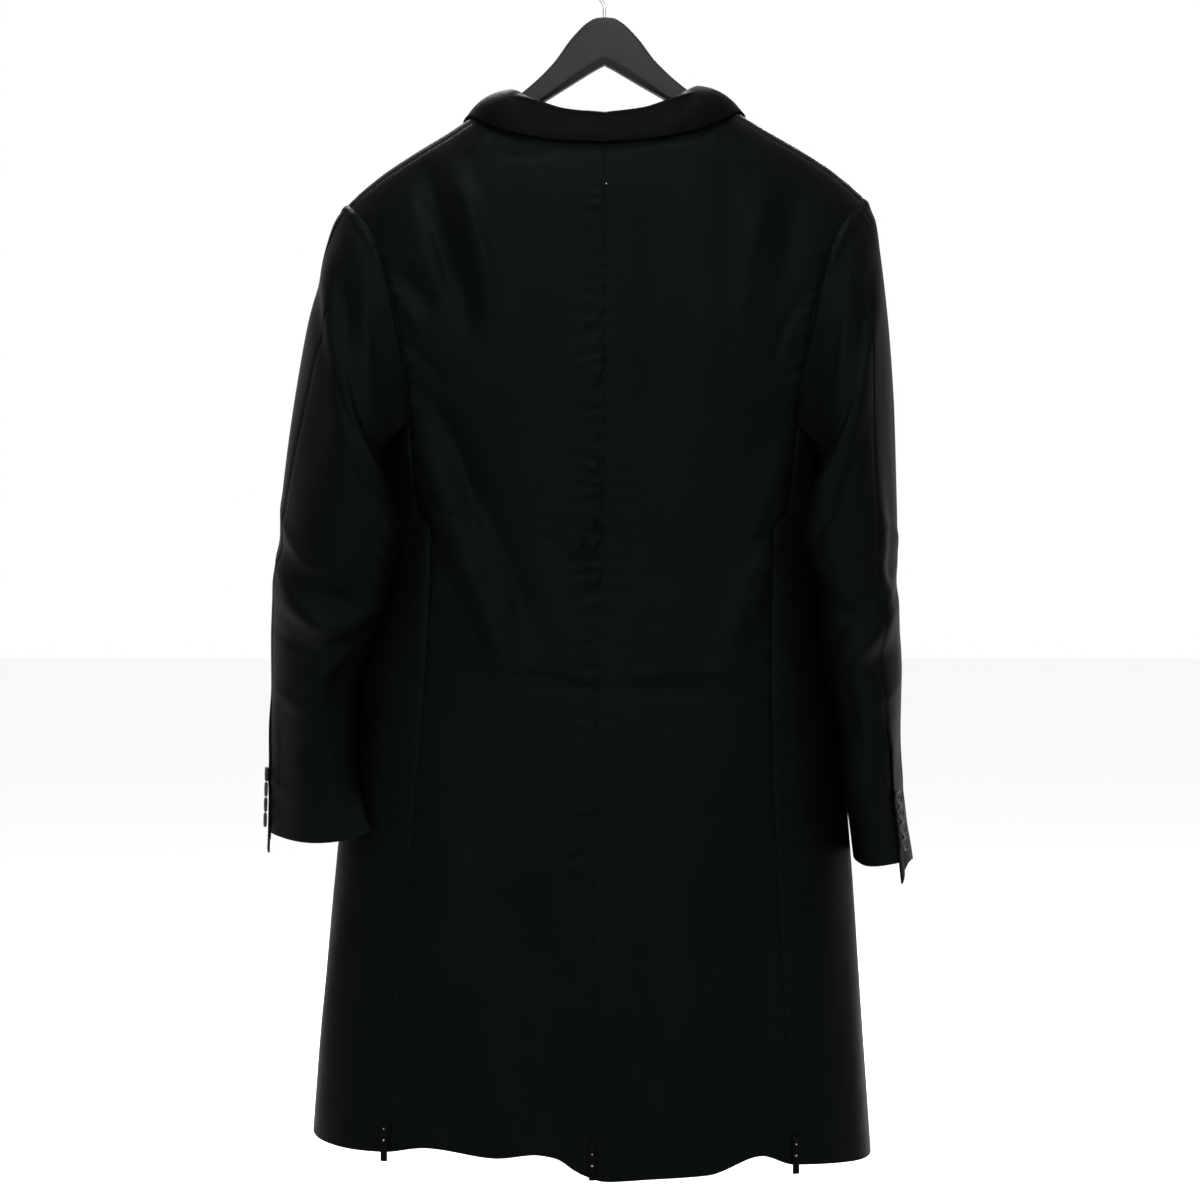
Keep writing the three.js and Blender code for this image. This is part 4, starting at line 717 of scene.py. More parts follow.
# back moves the point into its panel, for the direction that leads away
def armholeAt(side, station, back=0.0):
    loop = np.asarray(station, float)
    points = np.zeros(loop.shape + (3,))
    for k, at in enumerate(loop):
        if at <= 8:
            share = 2 - at / 8
            seamDrop = shape["seamDrop"]
            heightAt = lambda xx: rowHeight(1, share, xx, seamDrop)
            x = meetEdge(lambda z: panelEdge(backEdge, side, z), heightAt, side * 200.0)
            x = x - side * back
            base = formPoint(1, x, rowHeight(1, share, x, seamDrop))
        elif at < 16:
            f = (at - 8) / 8
            z = shape["chest"] - shape["armpit"] * math.sin(math.pi * f) ** 0.8 - back
            first = sideAngle(1, panelEdge(backEdge, side, z), z)
            last = sideAngle(-1, panelEdge(frontEdge, side, z), z)
            base = sideFormPoint(side, mix(first, last, f), z)
        elif at <= 24:
            share = 1 + (at - 16) / 8
            heightAt = lambda xx: rowHeight(-1, share, xx, 0)
            x = meetEdge(lambda z: panelEdge(frontEdge, side, z), heightAt, side * 200.0)
            x = x - side * back
            base = formPoint(-1, x, rowHeight(-1, share, x, 0))
        else:
            drop = 2 * (at - 24) ** 2
            x = meetEdge(lambda z: panelEdge(backEdge, side, z), lambda xx: crestAt(xx) - drop, side * 200.0)
            x = x - side * back
            base = formPoint(1, x, crestAt(x) - drop)
        points[k] = base
    return points


def sleeveGrid(sideName, side):
    form = sleeveForms[sideName]
    count = sleeve["loop"] * sleeve["perPoint"]
    station = np.arange(count) / sleeve["perPoint"]
    ring0 = bodyCloth(armholeAt(side, station))[0]
    away = unit(ring0 - bodyCloth(armholeAt(side, station, 2.0))[0])
    first = sleevePlan(form, side, np.zeros(count))
    centre, arm = (first[0] + first[1]) / 2, (first[0] - first[1]) / 2
    along = (ring0 - centre) * np.array([1, 0, 1])
    angles = np.arctan2((ring0[:, 1] - first[2]) / first[3], (along * arm).sum(-1) / (arm * arm).sum(-1))
    angles = np.unwrap(angles)
    residue = ring0 - sleeveFormPoint(first, angles)
    vent, fore = math.radians(cuff["vent"][sideName]), math.radians(sleeve["foreDegrees"])
    start = vent - math.pi * 0.276
    hind, foreAt, loopCount = sleeve["hind"], sleeve["fore"], sleeve["loop"]
    cuffAngle = np.where(station <= hind, mix(start, vent, station / hind), np.where(
        station <= foreAt, mix(vent, fore, (station - hind) / (foreAt - hind)),
        mix(fore, start + 2 * math.pi, (station - foreAt) / (loopCount - foreAt))))
    t = (np.linspace(0, 1, sleeve["rings"] + 1) ** sleeve["spread"])[:, None]
    turned = mix(angles[None, :], cuffAngle[None, :], smooth(0.02, 0.6, t))
    plan = sleevePlan(form, side, t + 0 * turned)
    spot = sleeveFormPoint(plan, turned) + residue[None] * (1 - smooth(0, 0.2, t))[..., None]
    spot = clearOfBody(spot, sleeve["clear"] * smooth(0, 0.06, t))
    spot[0] = ring0 + away * cloth["gap"]
    round_ = np.roll(spot, -1, 1) - np.roll(spot, 1, 1)
    down = np.gradient(spot, axis=0)
    normal = unit(np.cross(round_, down)) * -side
    inward = -normal[0]
    inward = unit(inward + away * (np.maximum(0, -(inward * away).sum(-1)) + 0.02)[:, None])
    degrees = np.degrees(turned)
    height = np.zeros(degrees.shape)
    for row in sleeveFolds[sideName] + sleeveCreases[sideName]:
        fold = dict(zip(sleeveFoldColumns, row + (0,)))
        apart = (degrees - fold["angle"] + 180) % 360 - 180
        reach = (t - fold["t"] - fold["slope"] * apart + fold["curve"] * apart ** 2) / fold["length"]
        height = height + fold["height"] * np.exp(-(apart / fold["turn"]) ** 2 - np.abs(reach) ** 1.7)
    lengthAlong = t * sleeve["length"]
    seat = smooth(0, 0.05, t)
    height = height * seat + 0.7 * undulate(degrees * 1.1, lengthAlong, 60 + side, 45, 170, 0.5) * seat
    cap = (1 - smooth(40, 150, np.abs((degrees - 20 + 180) % 360 - 180)))
    height = height + sleeve["roping"] * cap * np.exp(-((lengthAlong - 9) / 8) ** 2)
    wave = ripple(station[None, :] * 14 + lengthAlong * 0.2, 70 + side, 7, 26)
    height = height + 0.55 * wave * np.exp(-lengthAlong / 16) * smooth(0, 0.01, t)
    outer = spot + normal * height[..., None]
    fromSag = np.radians(degrees - cuff["sagAt"][sideName])
    outer[..., 2] -= cuff["sag"][sideName] * smooth(0.8, 1, t) * np.maximum(0, np.cos(fromSag)) ** 1.5
    outer[0] = spot[0]
    normal[0] = -inward
    return outer, normal, away


def sleevePart(grid, first, last):
    outer, normal, away = grid
    columns = np.arange(first * sleeve["perPoint"], last * sleeve["perPoint"] + 1) % outer.shape[1]
    part, partNormal = outer[:, columns].copy(), normal[:, columns]
    isTop = last > sleeve["loop"]
    fromStart = np.arange(len(columns)) / sleeve["perPoint"]
    fromVent = (fromStart[::-1] if isTop else fromStart)[None, :]
    ring = (np.linspace(0, 1, sleeve["rings"] + 1) * cuff["rings"])[:, None]
    if isTop:                                       # the top sleeve ends in a tip
        droop = np.interp(fromVent, [0, 1, 2, 3], [1, 0.45, 0.12, 0])
        part[..., 2] -= cuff["tip"] * smooth(*cuff["tipRings"], ring) * droop
    lap = cuff["lap"] if isTop else cuff["underLift"]      # over the vent, where the under sleeve meets it
    lift = lap * smooth(*cuff["lapRings"], ring) * np.clip(1 - fromVent, 0, 1) ** 0.7
    part = part + partNormal * lift[..., None]
    part = seamed(part, partNormal, {"left": 0.9, "right": 0.9})
    tuck = part[0] - away[columns] * 4 - partNormal[0] * 2.5          # the allowance inside the armhole
    part = np.concatenate([tuck[None], part])
    partNormal = np.concatenate([partNormal[:1], partNormal])
    u, v = gridSteps(part)
    return part, partNormal, np.stack([u, -v], -1)


sleeveParts = (("under", sleeve["hind"], sleeve["fore"]),
               ("top", sleeve["fore"], sleeve["loop"] + sleeve["hind"]))
for sideName, side in (("left", 1), ("right", -1)):
    grid = sleeveGrid(sideName, side)
    for part, first, last in sleeveParts:
        name = f"sleeve_{part}_{sideName}"
        addSheet(name, makeShell(f"{name}_cloth", *sleevePart(grid, first, last)))
print("sleeves made")


# ---- collar and lapels

collar = {"stations": 150, "crest": 0.6, "gap": 0.5, "bow": 5, "foldRadius": 2.3, "lift": 3.4,
          "frontLevel": -203}
collarForm = {
    "s": [0, 0.2, 0.38, 0.5, 0.6, 0.72, 0.86, 1],
    "baseX": [0, 38, 74, 94, 99, 98, 92, 85],
    "foldX": [0, 36, 66, 86.5, 91.5, 91, 86, 80],
    "foldY": [38, 35, 26, 15.5, 0, -19, -38, -52],
    "foldZ": [-165, -160, -147, -135, -131.5, -138, -164, -194],
    "tipX": [0, 42, 84, 116, 129, 137, 142, 146],
    "tipZ": [-193, -190, -182, -167, -157, -170, -192, -216],
}


def collarLines():
    along = np.linspace(-1, 1, collar["stations"] + 1)
    side = np.where(along < 0, -1, 1)
    s = np.abs(along) ** 0.95
    read = lambda name: readTable(collarForm, "s", name, s)
    foldX = side * read("foldX")
    fold = np.stack([foldX, read("foldY"), read("foldZ") + shape["tilt"] * foldX], -1)
    face = np.where(s <= collar["crest"], 1, -1)
    baseX = side * read("baseX")
    backZ = crestAt(baseX) - topDrop(baseX) * (1 - smooth(0.46, 0.6, s) * 0.9)
    backBase, backNormal = bodyCloth(formPoint(1, baseX, backZ))
    backBase = backBase - backNormal * 1.5 + unit(np.array([0, -0.25, 1])) * collar["lift"]
    down = (s - collar["crest"]) / (1 - collar["crest"])
    frontZ = mix(crestAt(side * shape["neckSide"]), collar["frontLevel"], down)
    frontBase, _ = bodyCloth(formPoint(-1, rollX(side, frontZ), frontZ))
    inwards = np.stack([-side, 0 * s, 0.6 + 0 * s], -1)
    frontBase = frontBase + unit(inwards) * collar["lift"]
    base = np.where((s <= collar["crest"])[:, None], backBase, frontBase)
    tipX = side * read("tipX")
    tipZ = np.minimum(read("tipZ") + shape["tilt"] * tipX, crestAt(tipX) - 0.4)
    tip, tipNormal = bodyCloth(formPoint(face, tipX, tipZ))
    tip = tip + tipNormal * (2 + collar["gap"])
    return base, fold, tip, face, s


def collarShell():
    base, fold, tip, face, s = collarLines()
    running = unit(np.gradient(fold, axis=0))
    out = tip - fold
    out = unit(out - running * (out * running).sum(-1, keepdims=True))
    up = unit(np.cross(running, out))
    up = np.where(up[:, 2:] < 0, -up, up)
    r = collar["foldRadius"]
    spot = lambda o, u: fold + out * o + up * u
    standTop = spot(r * 1.2, -r * 2)
    path = [mix(base, standTop, f) for f in (0, 0.25, 0.5, 0.75)]
    path += [standTop, spot(-r * 0.5, -r * 1.75), spot(-r, -r * 0.9), spot(-r * 0.4, -r * 0.15)]
    for f in (0.1, 0.22, 0.34, 0.46, 0.58, 0.7, 0.82, 0.92, 1):
        bowed = mix(fold, tip, f) + up * collar["bow"] * 4 * f * (1 - f)
        wave = 0.5 * undulate(np.arange(len(s)) * 3.0, f * 40, 91, 30, 120, 0.6)
        bowed = bowed + up * (wave * math.sin(math.pi * f))[:, None]
        crest = crestAt(bowed[:, 0]) - 0.3
        panelPoint, panelNormal = bodyCloth(formPoint(face, bowed[:, 0], np.minimum(bowed[:, 2], crest)))
        gap = ((bowed - panelPoint) * panelNormal).sum(-1)
        lift = np.where(bowed[:, 2] > crest, 0, np.maximum(0, 2 + collar["gap"] - gap))
        path.append(bowed + panelNormal * lift[:, None])
    path = np.stack(path, 1)
    fine = []
    for k in range(path.shape[1] - 1):              # a smooth curve through the section's points
        p0, p1 = path[:, max(k - 1, 0)], path[:, k]
        p2, p3 = path[:, k + 1], path[:, min(k + 2, path.shape[1] - 1)]
        fine += [curvePoint(p0, p1, p2, p3, f) for f in (0, 0.25, 0.5, 0.75)]
    fine.append(path[:, -1])
    outer = np.stack(fine, 1)
    sectionRun = np.gradient(outer, axis=1)
    normal = unit(np.cross(sectionRun, running[:, None, :] + 0 * sectionRun))
    last = normal[:, -1]
    normal[:, -1] = np.where((last * up).sum(-1, keepdims=True) < 0, -last, last)
    u, v = gridSteps(outer)
    return makeShell("collar_cloth", outer, normal, np.stack([v, u], -1), 2.0)


lapel = {"foot": {"left": -574, "right": -498}, "top": -206, "point": (158, -250), "rows": 90, "columns": 40}


def lapelShell(sideName, side):
    low = lapel["foot"][sideName]
    f = np.linspace(0, 1, lapel["rows"] + 1)[:, None]
    g = np.linspace(0, 1, lapel["columns"] + 1)[None, :]
    rollZ = mix(low, lapel["top"], f)
    innerX, innerZ = rollX(side, rollZ) + side * 0.3, rollZ
    footX = rollX(side, np.array(float(low))) + side * 1.2
    belly = 10 * np.sin(math.pi * f) + 1.5 * (1 - f)
    outerX = footX + (side * lapel["point"][0] - footX) * f ** 0.9 + side * belly
    outerZ = mix(low, lapel["point"][1], f ** 0.9)
    x = innerX + (outerX - innerX) * g
    z = innerZ + (outerZ - innerZ) * g
    roll = 2.2 * np.sin(math.pi * np.minimum(g * 1.6, 1)) * smooth(0, 0.3, f)
    outer, normal = bodyCloth(formPoint(-1, x, z), 2 + cloth["layer"] + roll)
    edge = np.minimum(np.minimum(1 - g, f), 1 - f) * 60
    outer = outer - normal * (0.7 * np.exp(-(edge / 1.4)))[..., None]
    return makeShell(f"lapel_{sideName}_cloth", outer, normal, np.stack([x, z], -1), 1.8)


def seamStrip():                                     # the allowance behind the centre-back seam
    share = panelRows(*panel["backRows"])[4:-2, None]
    across = np.linspace(-9, 9, 7)[None, :]
    middle = centreAt(rowHeight(1, share, 0 * share, topDrop(0 * share)))
    x = middle + across
    z = rowHeight(1, share, x, topDrop(x))
    outer, normal = bodyCloth(formPoint(1, x, z))
    fromMiddle = np.abs(across) + 0 * z
    size = readTable(centrePucker, "z", "size", z) * np.where(across > 0, 1.0, 0.45)
    pucker = size * ripple(z + fromMiddle * 0.35 * np.sin(z / 37), 21, 11, 26)
    pucker = pucker * np.exp(-(fromMiddle / panel["puckerReach"]) ** 1.5)
    outer = outer + normal * (pucker - cloth["wall"] - 2.2)[..., None]
    return makeShell("seam_allowance", outer, normal, np.stack([x, z], -1), 0.8)


strip = addPiece("seam_allowance", seamStrip(), [worsted], "coat_cloth")
# The collar takes the darker copy of the worsted, its lower specular painted shade
addSheet("collar", collarShell(), crosswiseShadedCloth)
for sideName, side in (("left", 1), ("right", -1)):
    addSheet(f"lapel_{sideName}", lapelShell(sideName, side))
print("collar and lapels made")


# ---- buttons, from the place and the facing of each button's solid

buttonLook = {"segments": 48, "hole": 0.105, "holeAt": 0.24, "thread": 0.35}
outward = {"left": (1, 0.3, 0), "right": (-0.4, 1, 0), "front": (0, -1, 0)}


def finishPlastic(name, look):
    material, nodes, links, bsdf = newMaterial(name)
    place = addNode(nodes, "ShaderNodeTexCoord")
    marble = addNode(nodes, "ShaderNodeTexNoise", Scale=look["scale"], Detail=5.0, Distortion=look["swirl"])
    links.new(place.outputs["Object"], marble.inputs["Vector"])
    tone = addNode(nodes, "ShaderNodeValToRGB")
    tone.color_ramp.elements[0].position, tone.color_ramp.elements[1].position = look["between"]
    tone.color_ramp.elements[0].color = (*look["dark"], 1)
    tone.color_ramp.elements[1].color = (*look["light"], 1)
    links.new(marble.outputs["Fac"], tone.inputs["Fac"])
    links.new(tone.outputs["Color"], bsdf.inputs["Base Color"])
    scuff = addNode(nodes, "ShaderNodeTexNoise", Scale=look["scuffScale"], Detail=3.0)
    links.new(place.outputs["Object"], scuff.inputs["Vector"])
    rough = addNode(nodes, "ShaderNodeMapRange")
    rough.inputs["To Min"].default_value, rough.inputs["To Max"].default_value = look["rough"]
    links.new(scuff.outputs["Fac"], rough.inputs["Value"])
    links.new(rough.outputs["Result"], bsdf.inputs["Roughness"])
    bump = addNode(nodes, "ShaderNodeBump", Strength=look["bump"], Distance=0.0002)
    links.new(scuff.outputs["Fac"], bump.inputs["Height"])
    links.new(bump.outputs["Normal"], bsdf.inputs["Normal"])
    bsdf.inputs["Specular IOR Level"].default_value = look["specular"]
    bsdf.inputs["Metallic"].default_value = look.get("metal", 0)
    return material


horn = finishPlastic("button_horn", {
    "scale": 210, "swirl": 1.4, "between": (0.42, 0.78),
    "dark": (0.004, 0.004, 0.004), "light": (0.032, 0.031, 0.028),
    "scuffScale": 700, "rough": (0.3, 0.42), "bump": 0.12, "specular": 0.14})
thread = finishPlastic("button_thread", {
    "scale": 2600, "swirl": 0.2, "between": (0.3, 0.7),
    "dark": (0.004, 0.004, 0.005), "light": (0.02, 0.02, 0.022),
    "scuffScale": 4000, "rough": (0.6, 0.8), "bump": 0.5, "specular": 0.3})


def lathe(profile, segments):
    profile = np.array(profile, float)
    turn = np.arange(segments) * 2 * math.pi / segments
    ring = np.stack([np.cos(turn), np.sin(turn)], -1)
    verts = [np.concatenate([ring * max(r, 0.02), np.full((segments, 1), z)], 1) for r, z in profile]
    return np.concatenate(verts), loftFaces(len(profile), segments)


def joinParts(parts):
    verts, faces, slots, start = [], [], [], 0
    for partVerts, partFaces, slot in parts:
        verts.append(partVerts)
        faces += [tuple(v + start for v in face) for face in partFaces]
        slots += [slot] * len(partFaces)
        start += len(partVerts)
    return np.concatenate(verts), faces, slots


# Button outline, from the middle of its back round to the middle of its dished face, as shares
buttonProfile = [
    (0, 0), (0.8, 0), (0.93, 0.12), (1, 0.42), (0.985, 0.72), (0.93, 0.93),
    (0.86, 1), (0.79, 0.96), (0.72, 0.8), (0.64, 0.7), (0.4, 0.66), (0, 0.66),
]


def cutHoles(radius, height):                       # the lathed disc with four holes through it
    r, h = radius, height
    profile = [(r * across, h * up) for across, up in buttonProfile]
    verts, faces = lathe(profile, buttonLook["segments"])
    disc = bpy.data.objects.new("disc", makeMesh("disc", verts, faces))
    pins = []
    for k in range(4):
        a = math.radians(45 + 90 * k)
        pinVerts, pinFaces = lathe([(r * buttonLook["hole"], -h), (r * buttonLook["hole"], h * 2)], 16)
        place = np.array([math.cos(a), math.sin(a), 0]) * r * buttonLook["holeAt"] * 1.2
        pins.append((pinVerts + place, pinFaces, 0))
    pinVerts, pinFaces, _ = joinParts(pins)
    cutter = bpy.data.objects.new("pins", makeMesh("pins", pinVerts, pinFaces))
    for obj in (disc, cutter):
        bpy.context.scene.collection.objects.link(obj)
    cut = disc.modifiers.new("holes", "BOOLEAN")
    cut.operation, cut.solver, cut.object = "DIFFERENCE", "EXACT", cutter
    done = disc.evaluated_get(bpy.context.evaluated_depsgraph_get()).to_mesh()
    verts = np.array([v.co for v in done.vertices]) / mm
    faces = [tuple(f.vertices) for f in done.polygons]
    for obj in (disc, cutter):
        bpy.data.objects.remove(obj)
    return verts, faces


def threadBars(radius, height):
    bars = []
    for side in (-1, 1):
        y = side * radius * 0.2
        turn = np.arange(8) * math.pi / 4
        rings = []
        for f in np.linspace(0, 1, 9):
            x = mix(-radius * 0.2, radius * 0.2, f)
            z = height * 0.66 + buttonLook["thread"] * (math.sin(math.pi * f) * 1.6 - 0.6)
            rings.append(np.stack([0 * turn + x, y + 0.55 * np.cos(turn), z + 0.42 * np.sin(turn)], -1))
        bars.append((np.concatenate(rings), loftFaces(len(rings), len(turn)), 1))
    return bars


buttonParts = {}


def addButton(node, facing, turn, sheet):
    points = np.array([v.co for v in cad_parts[node].data.vertices]) / mm
    middle = (points.max(0) + points.min(0)) / 2
    axis = np.linalg.svd(points - points.mean(0), full_matrices=False)[2][-1]
    axis = axis * (1 if axis @ np.array(facing) > 0 else -1)
    along = (points - middle) @ axis
    radius = np.linalg.norm((points - middle) - along[:, None] * axis, axis=1).max()
    height = along.max() - along.min()
    key = round(radius, 1)
    if key not in buttonParts:
        verts, faces = cutHoles(radius, height)
        buttonParts[key] = joinParts([(verts, faces, 0)] + threadBars(radius, height))
    verts, faces, slots = buttonParts[key]
    turned = Matrix.Rotation(turn, 3, "Z")
    place = Vector(axis).to_track_quat("Z", "X").to_matrix() @ turned
    moved = verts @ np.array(place).T + middle + axis * along.min()
    mesh = makeMesh(f"{node}_horn", moved, faces, slots=slots, sharp=50)
    sewnOn[sheet].append(addPiece(f"{node}_horn", mesh, [horn, thread], "button", node))


for sideName in ("left", "right"):
    for n in range(1, 5):
        addButton(f"cuff_button_{sideName}_{n}", outward[sideName], 0.4 + n * 0.7, f"sleeve_top_{sideName}")
for n in range(1, 4):
    addButton(f"front_button_{n}", outward["front"], 0.2 * n, "front_left")
print("buttons made")


# ---- hanger, hook and hem tabs

hanger = {"corners": 52, "stations": 150, "flat": 6, "bevel": 0.8}
hangerForm = {
    "x": [0, 8, 15.5, 31, 48.5, 66, 81, 92, 104, 130, 176, 205, 219, 224.6],
    "top": [-62, -62.8, -66.6, -81.6, -105, -122.6, -135, -144, -150.5, -161.2, -189.4, -208, -219, -227],
    "bottom": [-108, -112.2, -116.6, -126, -136.4, -147, -156, -163, -171, -187, -216, -234, -240, -236],
    "depth": [7, 7, 7.2, 7.6, 8.2, 9, 9, 9, 10, 11.5, 13, 13.5, 11.5, 5],
}
plastic = finishPlastic("hanger_plastic", {
    "scale": 22, "swirl": 0.3, "between": (0.3, 0.7),
    "dark": (0.0046, 0.0051, 0.0051), "light": (0.0086, 0.0093, 0.0093),
    "scuffScale": 260, "rough": (0.38, 0.5), "bump": 0.05, "specular": 0.1})
wire = finishPlastic("hook_wire", {
    "scale": 300, "swirl": 0, "between": (0.3, 0.7),
    "dark": (0.3, 0.31, 0.32), "light": (0.42, 0.43, 0.44),
    "scuffScale": 1200, "rough": (0.16, 0.28), "bump": 0.05, "specular": 0.5, "metal": 1})


def hangerMesh():
    half = np.linspace(0, 1, hanger["stations"] // 2) ** 1.15 * 224.6
    xs = np.concatenate([-half[:0:-1], half])
    read = lambda name: readTable(hangerForm, "x", name, np.abs(xs))
    tilt = shape["tilt"] * xs * smooth(0, 60, np.abs(xs))
    top, bottom, depth = read("top") + tilt, read("bottom") + tilt, read("depth")
    middle, tall = (top + bottom) / 2, (top - bottom) / 2
    angle = np.arange(hanger["corners"]) * 2 * math.pi / hanger["corners"]
    c, s = np.cos(angle), np.sin(angle)
    p = 2 / hanger["flat"]
    across = np.sign(c) * np.abs(c) ** p
    up = np.sign(s) * np.abs(s) ** p
    # a step along the underside
    bevel = hanger["bevel"] * smooth(-0.72, -0.8, up) * (1 - smooth(-0.93, -0.99, up))
    y = depth[:, None] * across[None, :] - np.sign(across) * bevel[None, :]
    z = middle[:, None] + tall[:, None] * up[None, :]
    verts = np.stack([xs[:, None] + 0 * y, y, z], -1)
    return makeMesh("hanger_body", verts.reshape(-1, 3), loftFaces(*y.shape), sharp=35)


hook = {"inner": 18, "radius": 1.75, "from": -32, "to": 212, "sides": 20}


def hookMesh():
    r = hook["inner"] + hook["radius"]
    points = [(0, 0, -61.7), (0, 0, -56), (0.6, 0, -50), (5, 0, -43), (12.5, 0, -35.5)]
    for k in range(13):
        a = math.radians(mix(hook["from"], hook["to"], k / 12))
        points.append((r * math.cos(a), 0, r * math.sin(a) - hook["inner"]))
    points = np.array(points, float)
    path = []
    for k in range(len(points) - 1):
        p0, p1 = points[max(k - 1, 0)], points[k]
        p2, p3 = points[k + 1], points[min(k + 2, len(points) - 1)]
        path += [curvePoint(p0, p1, p2, p3, f) for f in np.arange(8) / 8]
    path.append(points[-1])
    path = np.array(path)
    run = unit(np.gradient(path, axis=0))
    side = np.cross(run, np.array([0, 1, 0]))
    wide = np.full(len(path), hook["radius"])
    end = path[-1] + run[-1] * np.array([[0.5], [0.9], [1.05]])
    path = np.concatenate([path, end])
    run = np.concatenate([run, np.repeat(run[-1:], 3, 0)])
    side = np.concatenate([side, np.repeat(side[-1:], 3, 0)])
    wide = np.concatenate([wide, hook["radius"] * np.array([0.93, 0.7, 0.3])])
    turn = np.arange(hook["sides"]) * 2 * math.pi / hook["sides"]
    rings = path[:, None] + wide[:, None, None] * (side[:, None] * np.cos(turn)[None, :, None]
                                                   + np.array([0, 1, 0]) * np.sin(turn)[None, :, None])
    return makeMesh("hook_wire", rings.reshape(-1, 3), loftFaces(*rings.shape[:2], flip=True), sharp=60)


addPiece("hanger_body", hangerMesh(), [plastic], "hanger_plastic", "hanger")
addPiece("hook_body", hookMesh(), [wire], "hook_wire", "hook")

# The two pale marks on each tab are painted glints, standing in for the glint of small metal stops on the
# tape
tab = {"width": 6, "length": 34, "wall": 1.0, "lift": 1.9, "below": {"left": 8, "centre": 1, "right": 8},
       "places": {"left": 205, "centre": 11.6, "right": -177.5},
       "paintedGlints": {"left": (19.5, 30), "centre": (13.5, 24), "right": (17, 27.5)}, "glintSize": (0.85, 0.55)}
# One pale finish for the real thread tack at the neck and for the painted glints on the hem tabs
paleThreadAndGlint = finishPlastic("pale_thread_and_painted_glint", {
    "scale": 2400, "swirl": 0.2, "between": (0.3, 0.7),
    "dark": (0.16, 0.165, 0.165), "light": (0.3, 0.31, 0.31),
    "scuffScale": 5000, "rough": (0.7, 0.9), "bump": 0.5, "specular": 0.3})


def tackMesh(name, spots, normals, sizes):          # short crossed stitches, lying on the cloth
    parts = []
    for spot, normal, size in zip(spots, normals, sizes):
        side = unit(np.cross(normal, np.array([0, 0, 1.0])))
        up = np.cross(side, normal)
        for lean in (0.7, -0.7):
            run = side * math.cos(lean) + up * math.sin(lean)
            over = np.cross(run, normal)
            turn = np.arange(8) * math.pi / 4
            rings = []
            for f in np.linspace(-1, 1, 7):
                centre = spot + run * f * size + normal * (0.42 * (1 - f * f) - 0.12)
                aroundIt = over * np.cos(turn)[:, None] + normal * np.sin(turn)[:, None] * 0.8
                rings.append(centre + 0.36 * aroundIt)
            parts.append((np.concatenate(rings), loftFaces(len(rings), len(turn)), 0))
    verts, faces, _ = joinParts(parts)
    return makeMesh(name, verts, faces)


def addTab(place, x):
    hem = float(hemAt(1, np.array(float(x))))
    foot = hem - tab["below"][place]
    z = (foot + np.linspace(0, tab["length"], 30))[:, None]
    across = np.linspace(-0.5, 0.5, 9)[None, :]
    flatX, flatZ = x + across * tab["width"] + 0 * z, z + 0 * across
    ruffle = 0.25 * np.sin(z / 6.5) * (1 - 4 * across ** 2)
    outer, normal = bodyCloth(formPoint(1, flatX, flatZ), tab["lift"] + ruffle)
    name = f"hem_tab_{place}_tape"
    mesh = makeShell(name, outer, normal, np.stack([flatX, flatZ], -1), tab["wall"])
    piece = addPiece(name, mesh, [tapeCloth], "hem_tape", f"hem_tab_{place}")
    # Painted glints: pale crossed marks where small metal stops catch the light
    heights = np.array([[foot + h] for h in tab["paintedGlints"][place]])
    spots, normals = bodyCloth(formPoint(1, x + 0 * heights, heights), tab["lift"] + 0.3)
    name = f"hem_painted_glints_{place}"
    mesh = tackMesh(name, spots[:, 0], normals[:, 0], tab["glintSize"])
    paintedGlints = addPiece(name, mesh, [paleThreadAndGlint], "hem_tape")
    sewnOn["back_left" if x > 0 else "back_right"] += [piece, paintedGlints]


for place, x in tab["places"].items():
    addTab(place, x)
neckTack, neckNormal = bodyCloth(formPoint(1, np.array([[-1.5]]), np.array([[-232.0]])), 0.2)
neckMesh = tackMesh("neck_tack", neckTack[:, 0], neckNormal[:, 0], [0.6])
sewnOn["back_left"].append(addPiece("neck_tack", neckMesh, [paleThreadAndGlint], "hem_tape"))
print("hanger, hook and tabs made")


# ---- camera, lights and floor

def aimed(obj, target):
    obj.rotation_euler = (Vector(target) - obj.location).to_track_quat("-Z", "Y").to_euler()


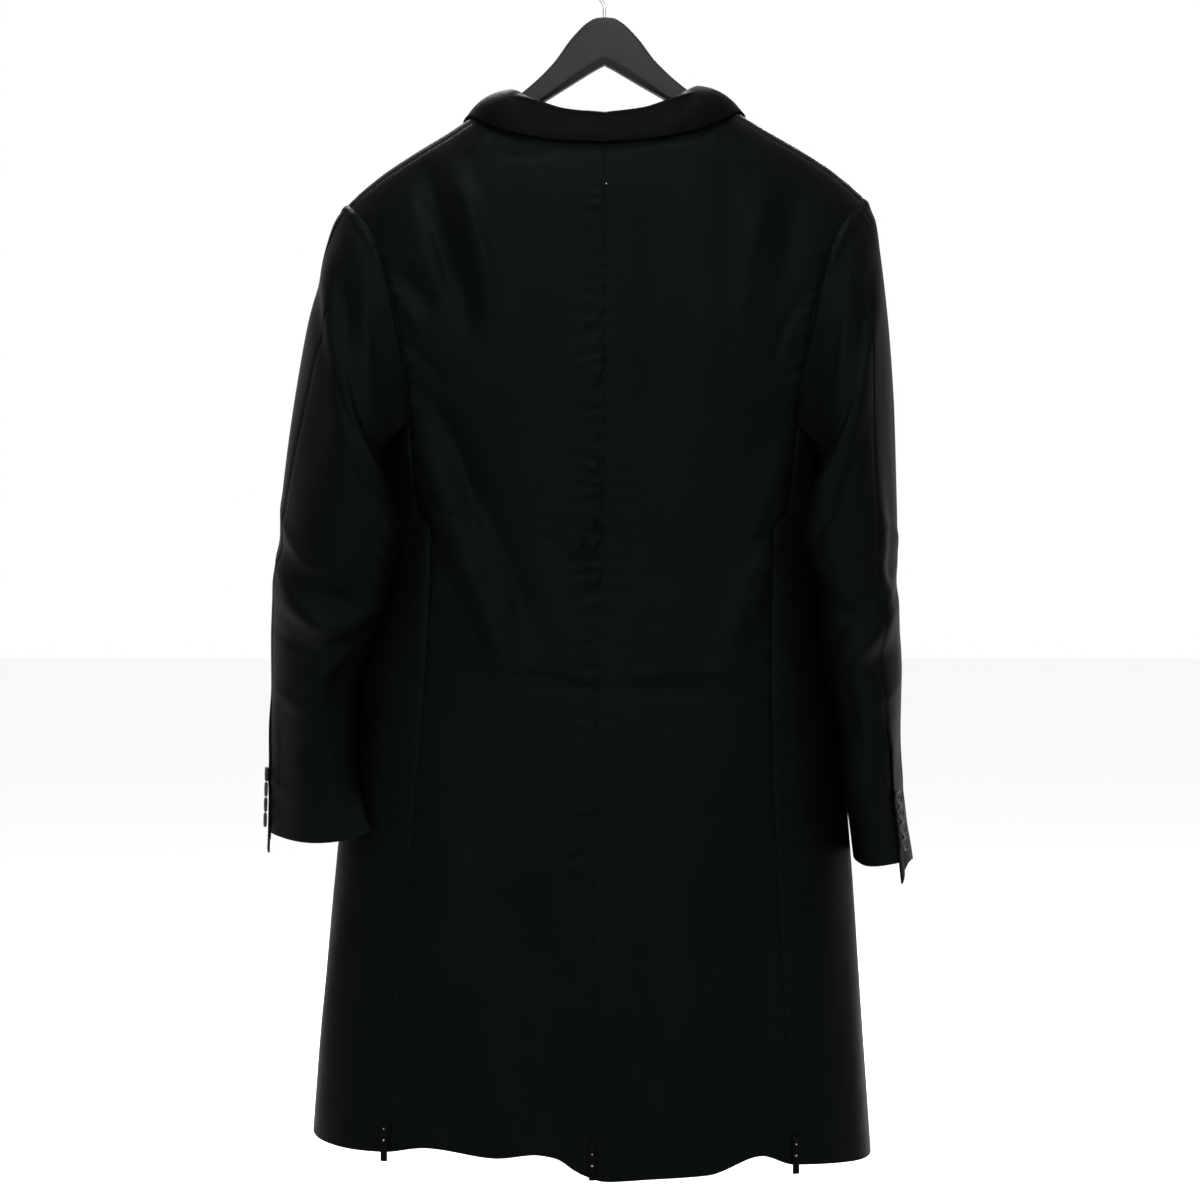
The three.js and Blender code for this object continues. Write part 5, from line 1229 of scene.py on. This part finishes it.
view = {"lens": 81.25, "sensor": 36, "place": (0.00432, 2.6, -0.621), "lampTarget": (0, 0, -0.6)}     # metres
lamps = {                                             # place in metres, size in metres, power
    "keyLeft": ((0.72, 2.6, 0.38), 0.8, 24), "keyRight": ((-0.64, 2.6, 0.38), 0.8, 28),
    "high": ((-0.1, 2.0, 1.6), 0.9, 30), "top": ((0.1, 0.4, 1.9), 0.9, 45),
    "frontKey": ((-0.3, -2.7, 0.5), 0.9, 50), "frontHigh": ((0.3, -2.2, 1.5), 0.9, 60),
}
floorLook = {"level": -1.32, "reach": 30, "dark": (0.925, 0.925, 0.925, 1), "light": (0.95, 0.95, 0.95, 1)}


def addStage():
    camera = bpy.data.objects.new("camera", bpy.data.cameras.new("camera"))
    camera.data.lens = view["lens"]
    camera.data.sensor_width = view["sensor"]
    camera.location = view["place"]
    camera.rotation_euler = (math.radians(90), 0, math.radians(180))
    bpy.context.scene.collection.objects.link(camera)
    bpy.context.scene.camera = camera
    for name, (place, size, power) in lamps.items():
        lamp = bpy.data.lights.new(name, "AREA")
        lamp.size, lamp.energy = size, power
        obj = bpy.data.objects.new(name, lamp)
        obj.location = place
        aimed(obj, view["lampTarget"])
        bpy.context.scene.collection.objects.link(obj)
    world = bpy.data.worlds.new("studio")
    world.use_nodes = True
    world.node_tree.nodes["Background"].inputs["Color"].default_value = (1.0, 1.0, 1.0, 1)
    world.node_tree.nodes["Background"].inputs["Strength"].default_value = 1.0
    bpy.context.scene.world = world
    bpy.context.scene.view_settings.view_transform = "Standard"
    floorMesh = bpy.data.meshes.new("floor")
    far, level = floorLook["reach"], floorLook["level"]
    corners = [(-far, -far, level), (far, -far, level), (far, far, level), (-far, far, level)]
    floorMesh.from_pydata(corners, [], [(0, 1, 2, 3)])
    floor = bpy.data.objects.new("floor", floorMesh)
    bpy.context.scene.collection.objects.link(floor)
    material, nodes, links, bsdf = newMaterial("floor_paint")
    grain = addNode(nodes, "ShaderNodeTexNoise", Scale=3.0, Detail=2.0)
    tone = addNode(nodes, "ShaderNodeValToRGB")
    tone.color_ramp.elements[0].color = floorLook["dark"]
    tone.color_ramp.elements[1].color = floorLook["light"]
    links.new(grain.outputs["Fac"], tone.inputs["Fac"])
    links.new(tone.outputs["Color"], bsdf.inputs["Base Color"])
    bsdf.inputs["Roughness"].default_value = 0.8
    floorMesh.materials.append(material)


addStage()
print("stage made")
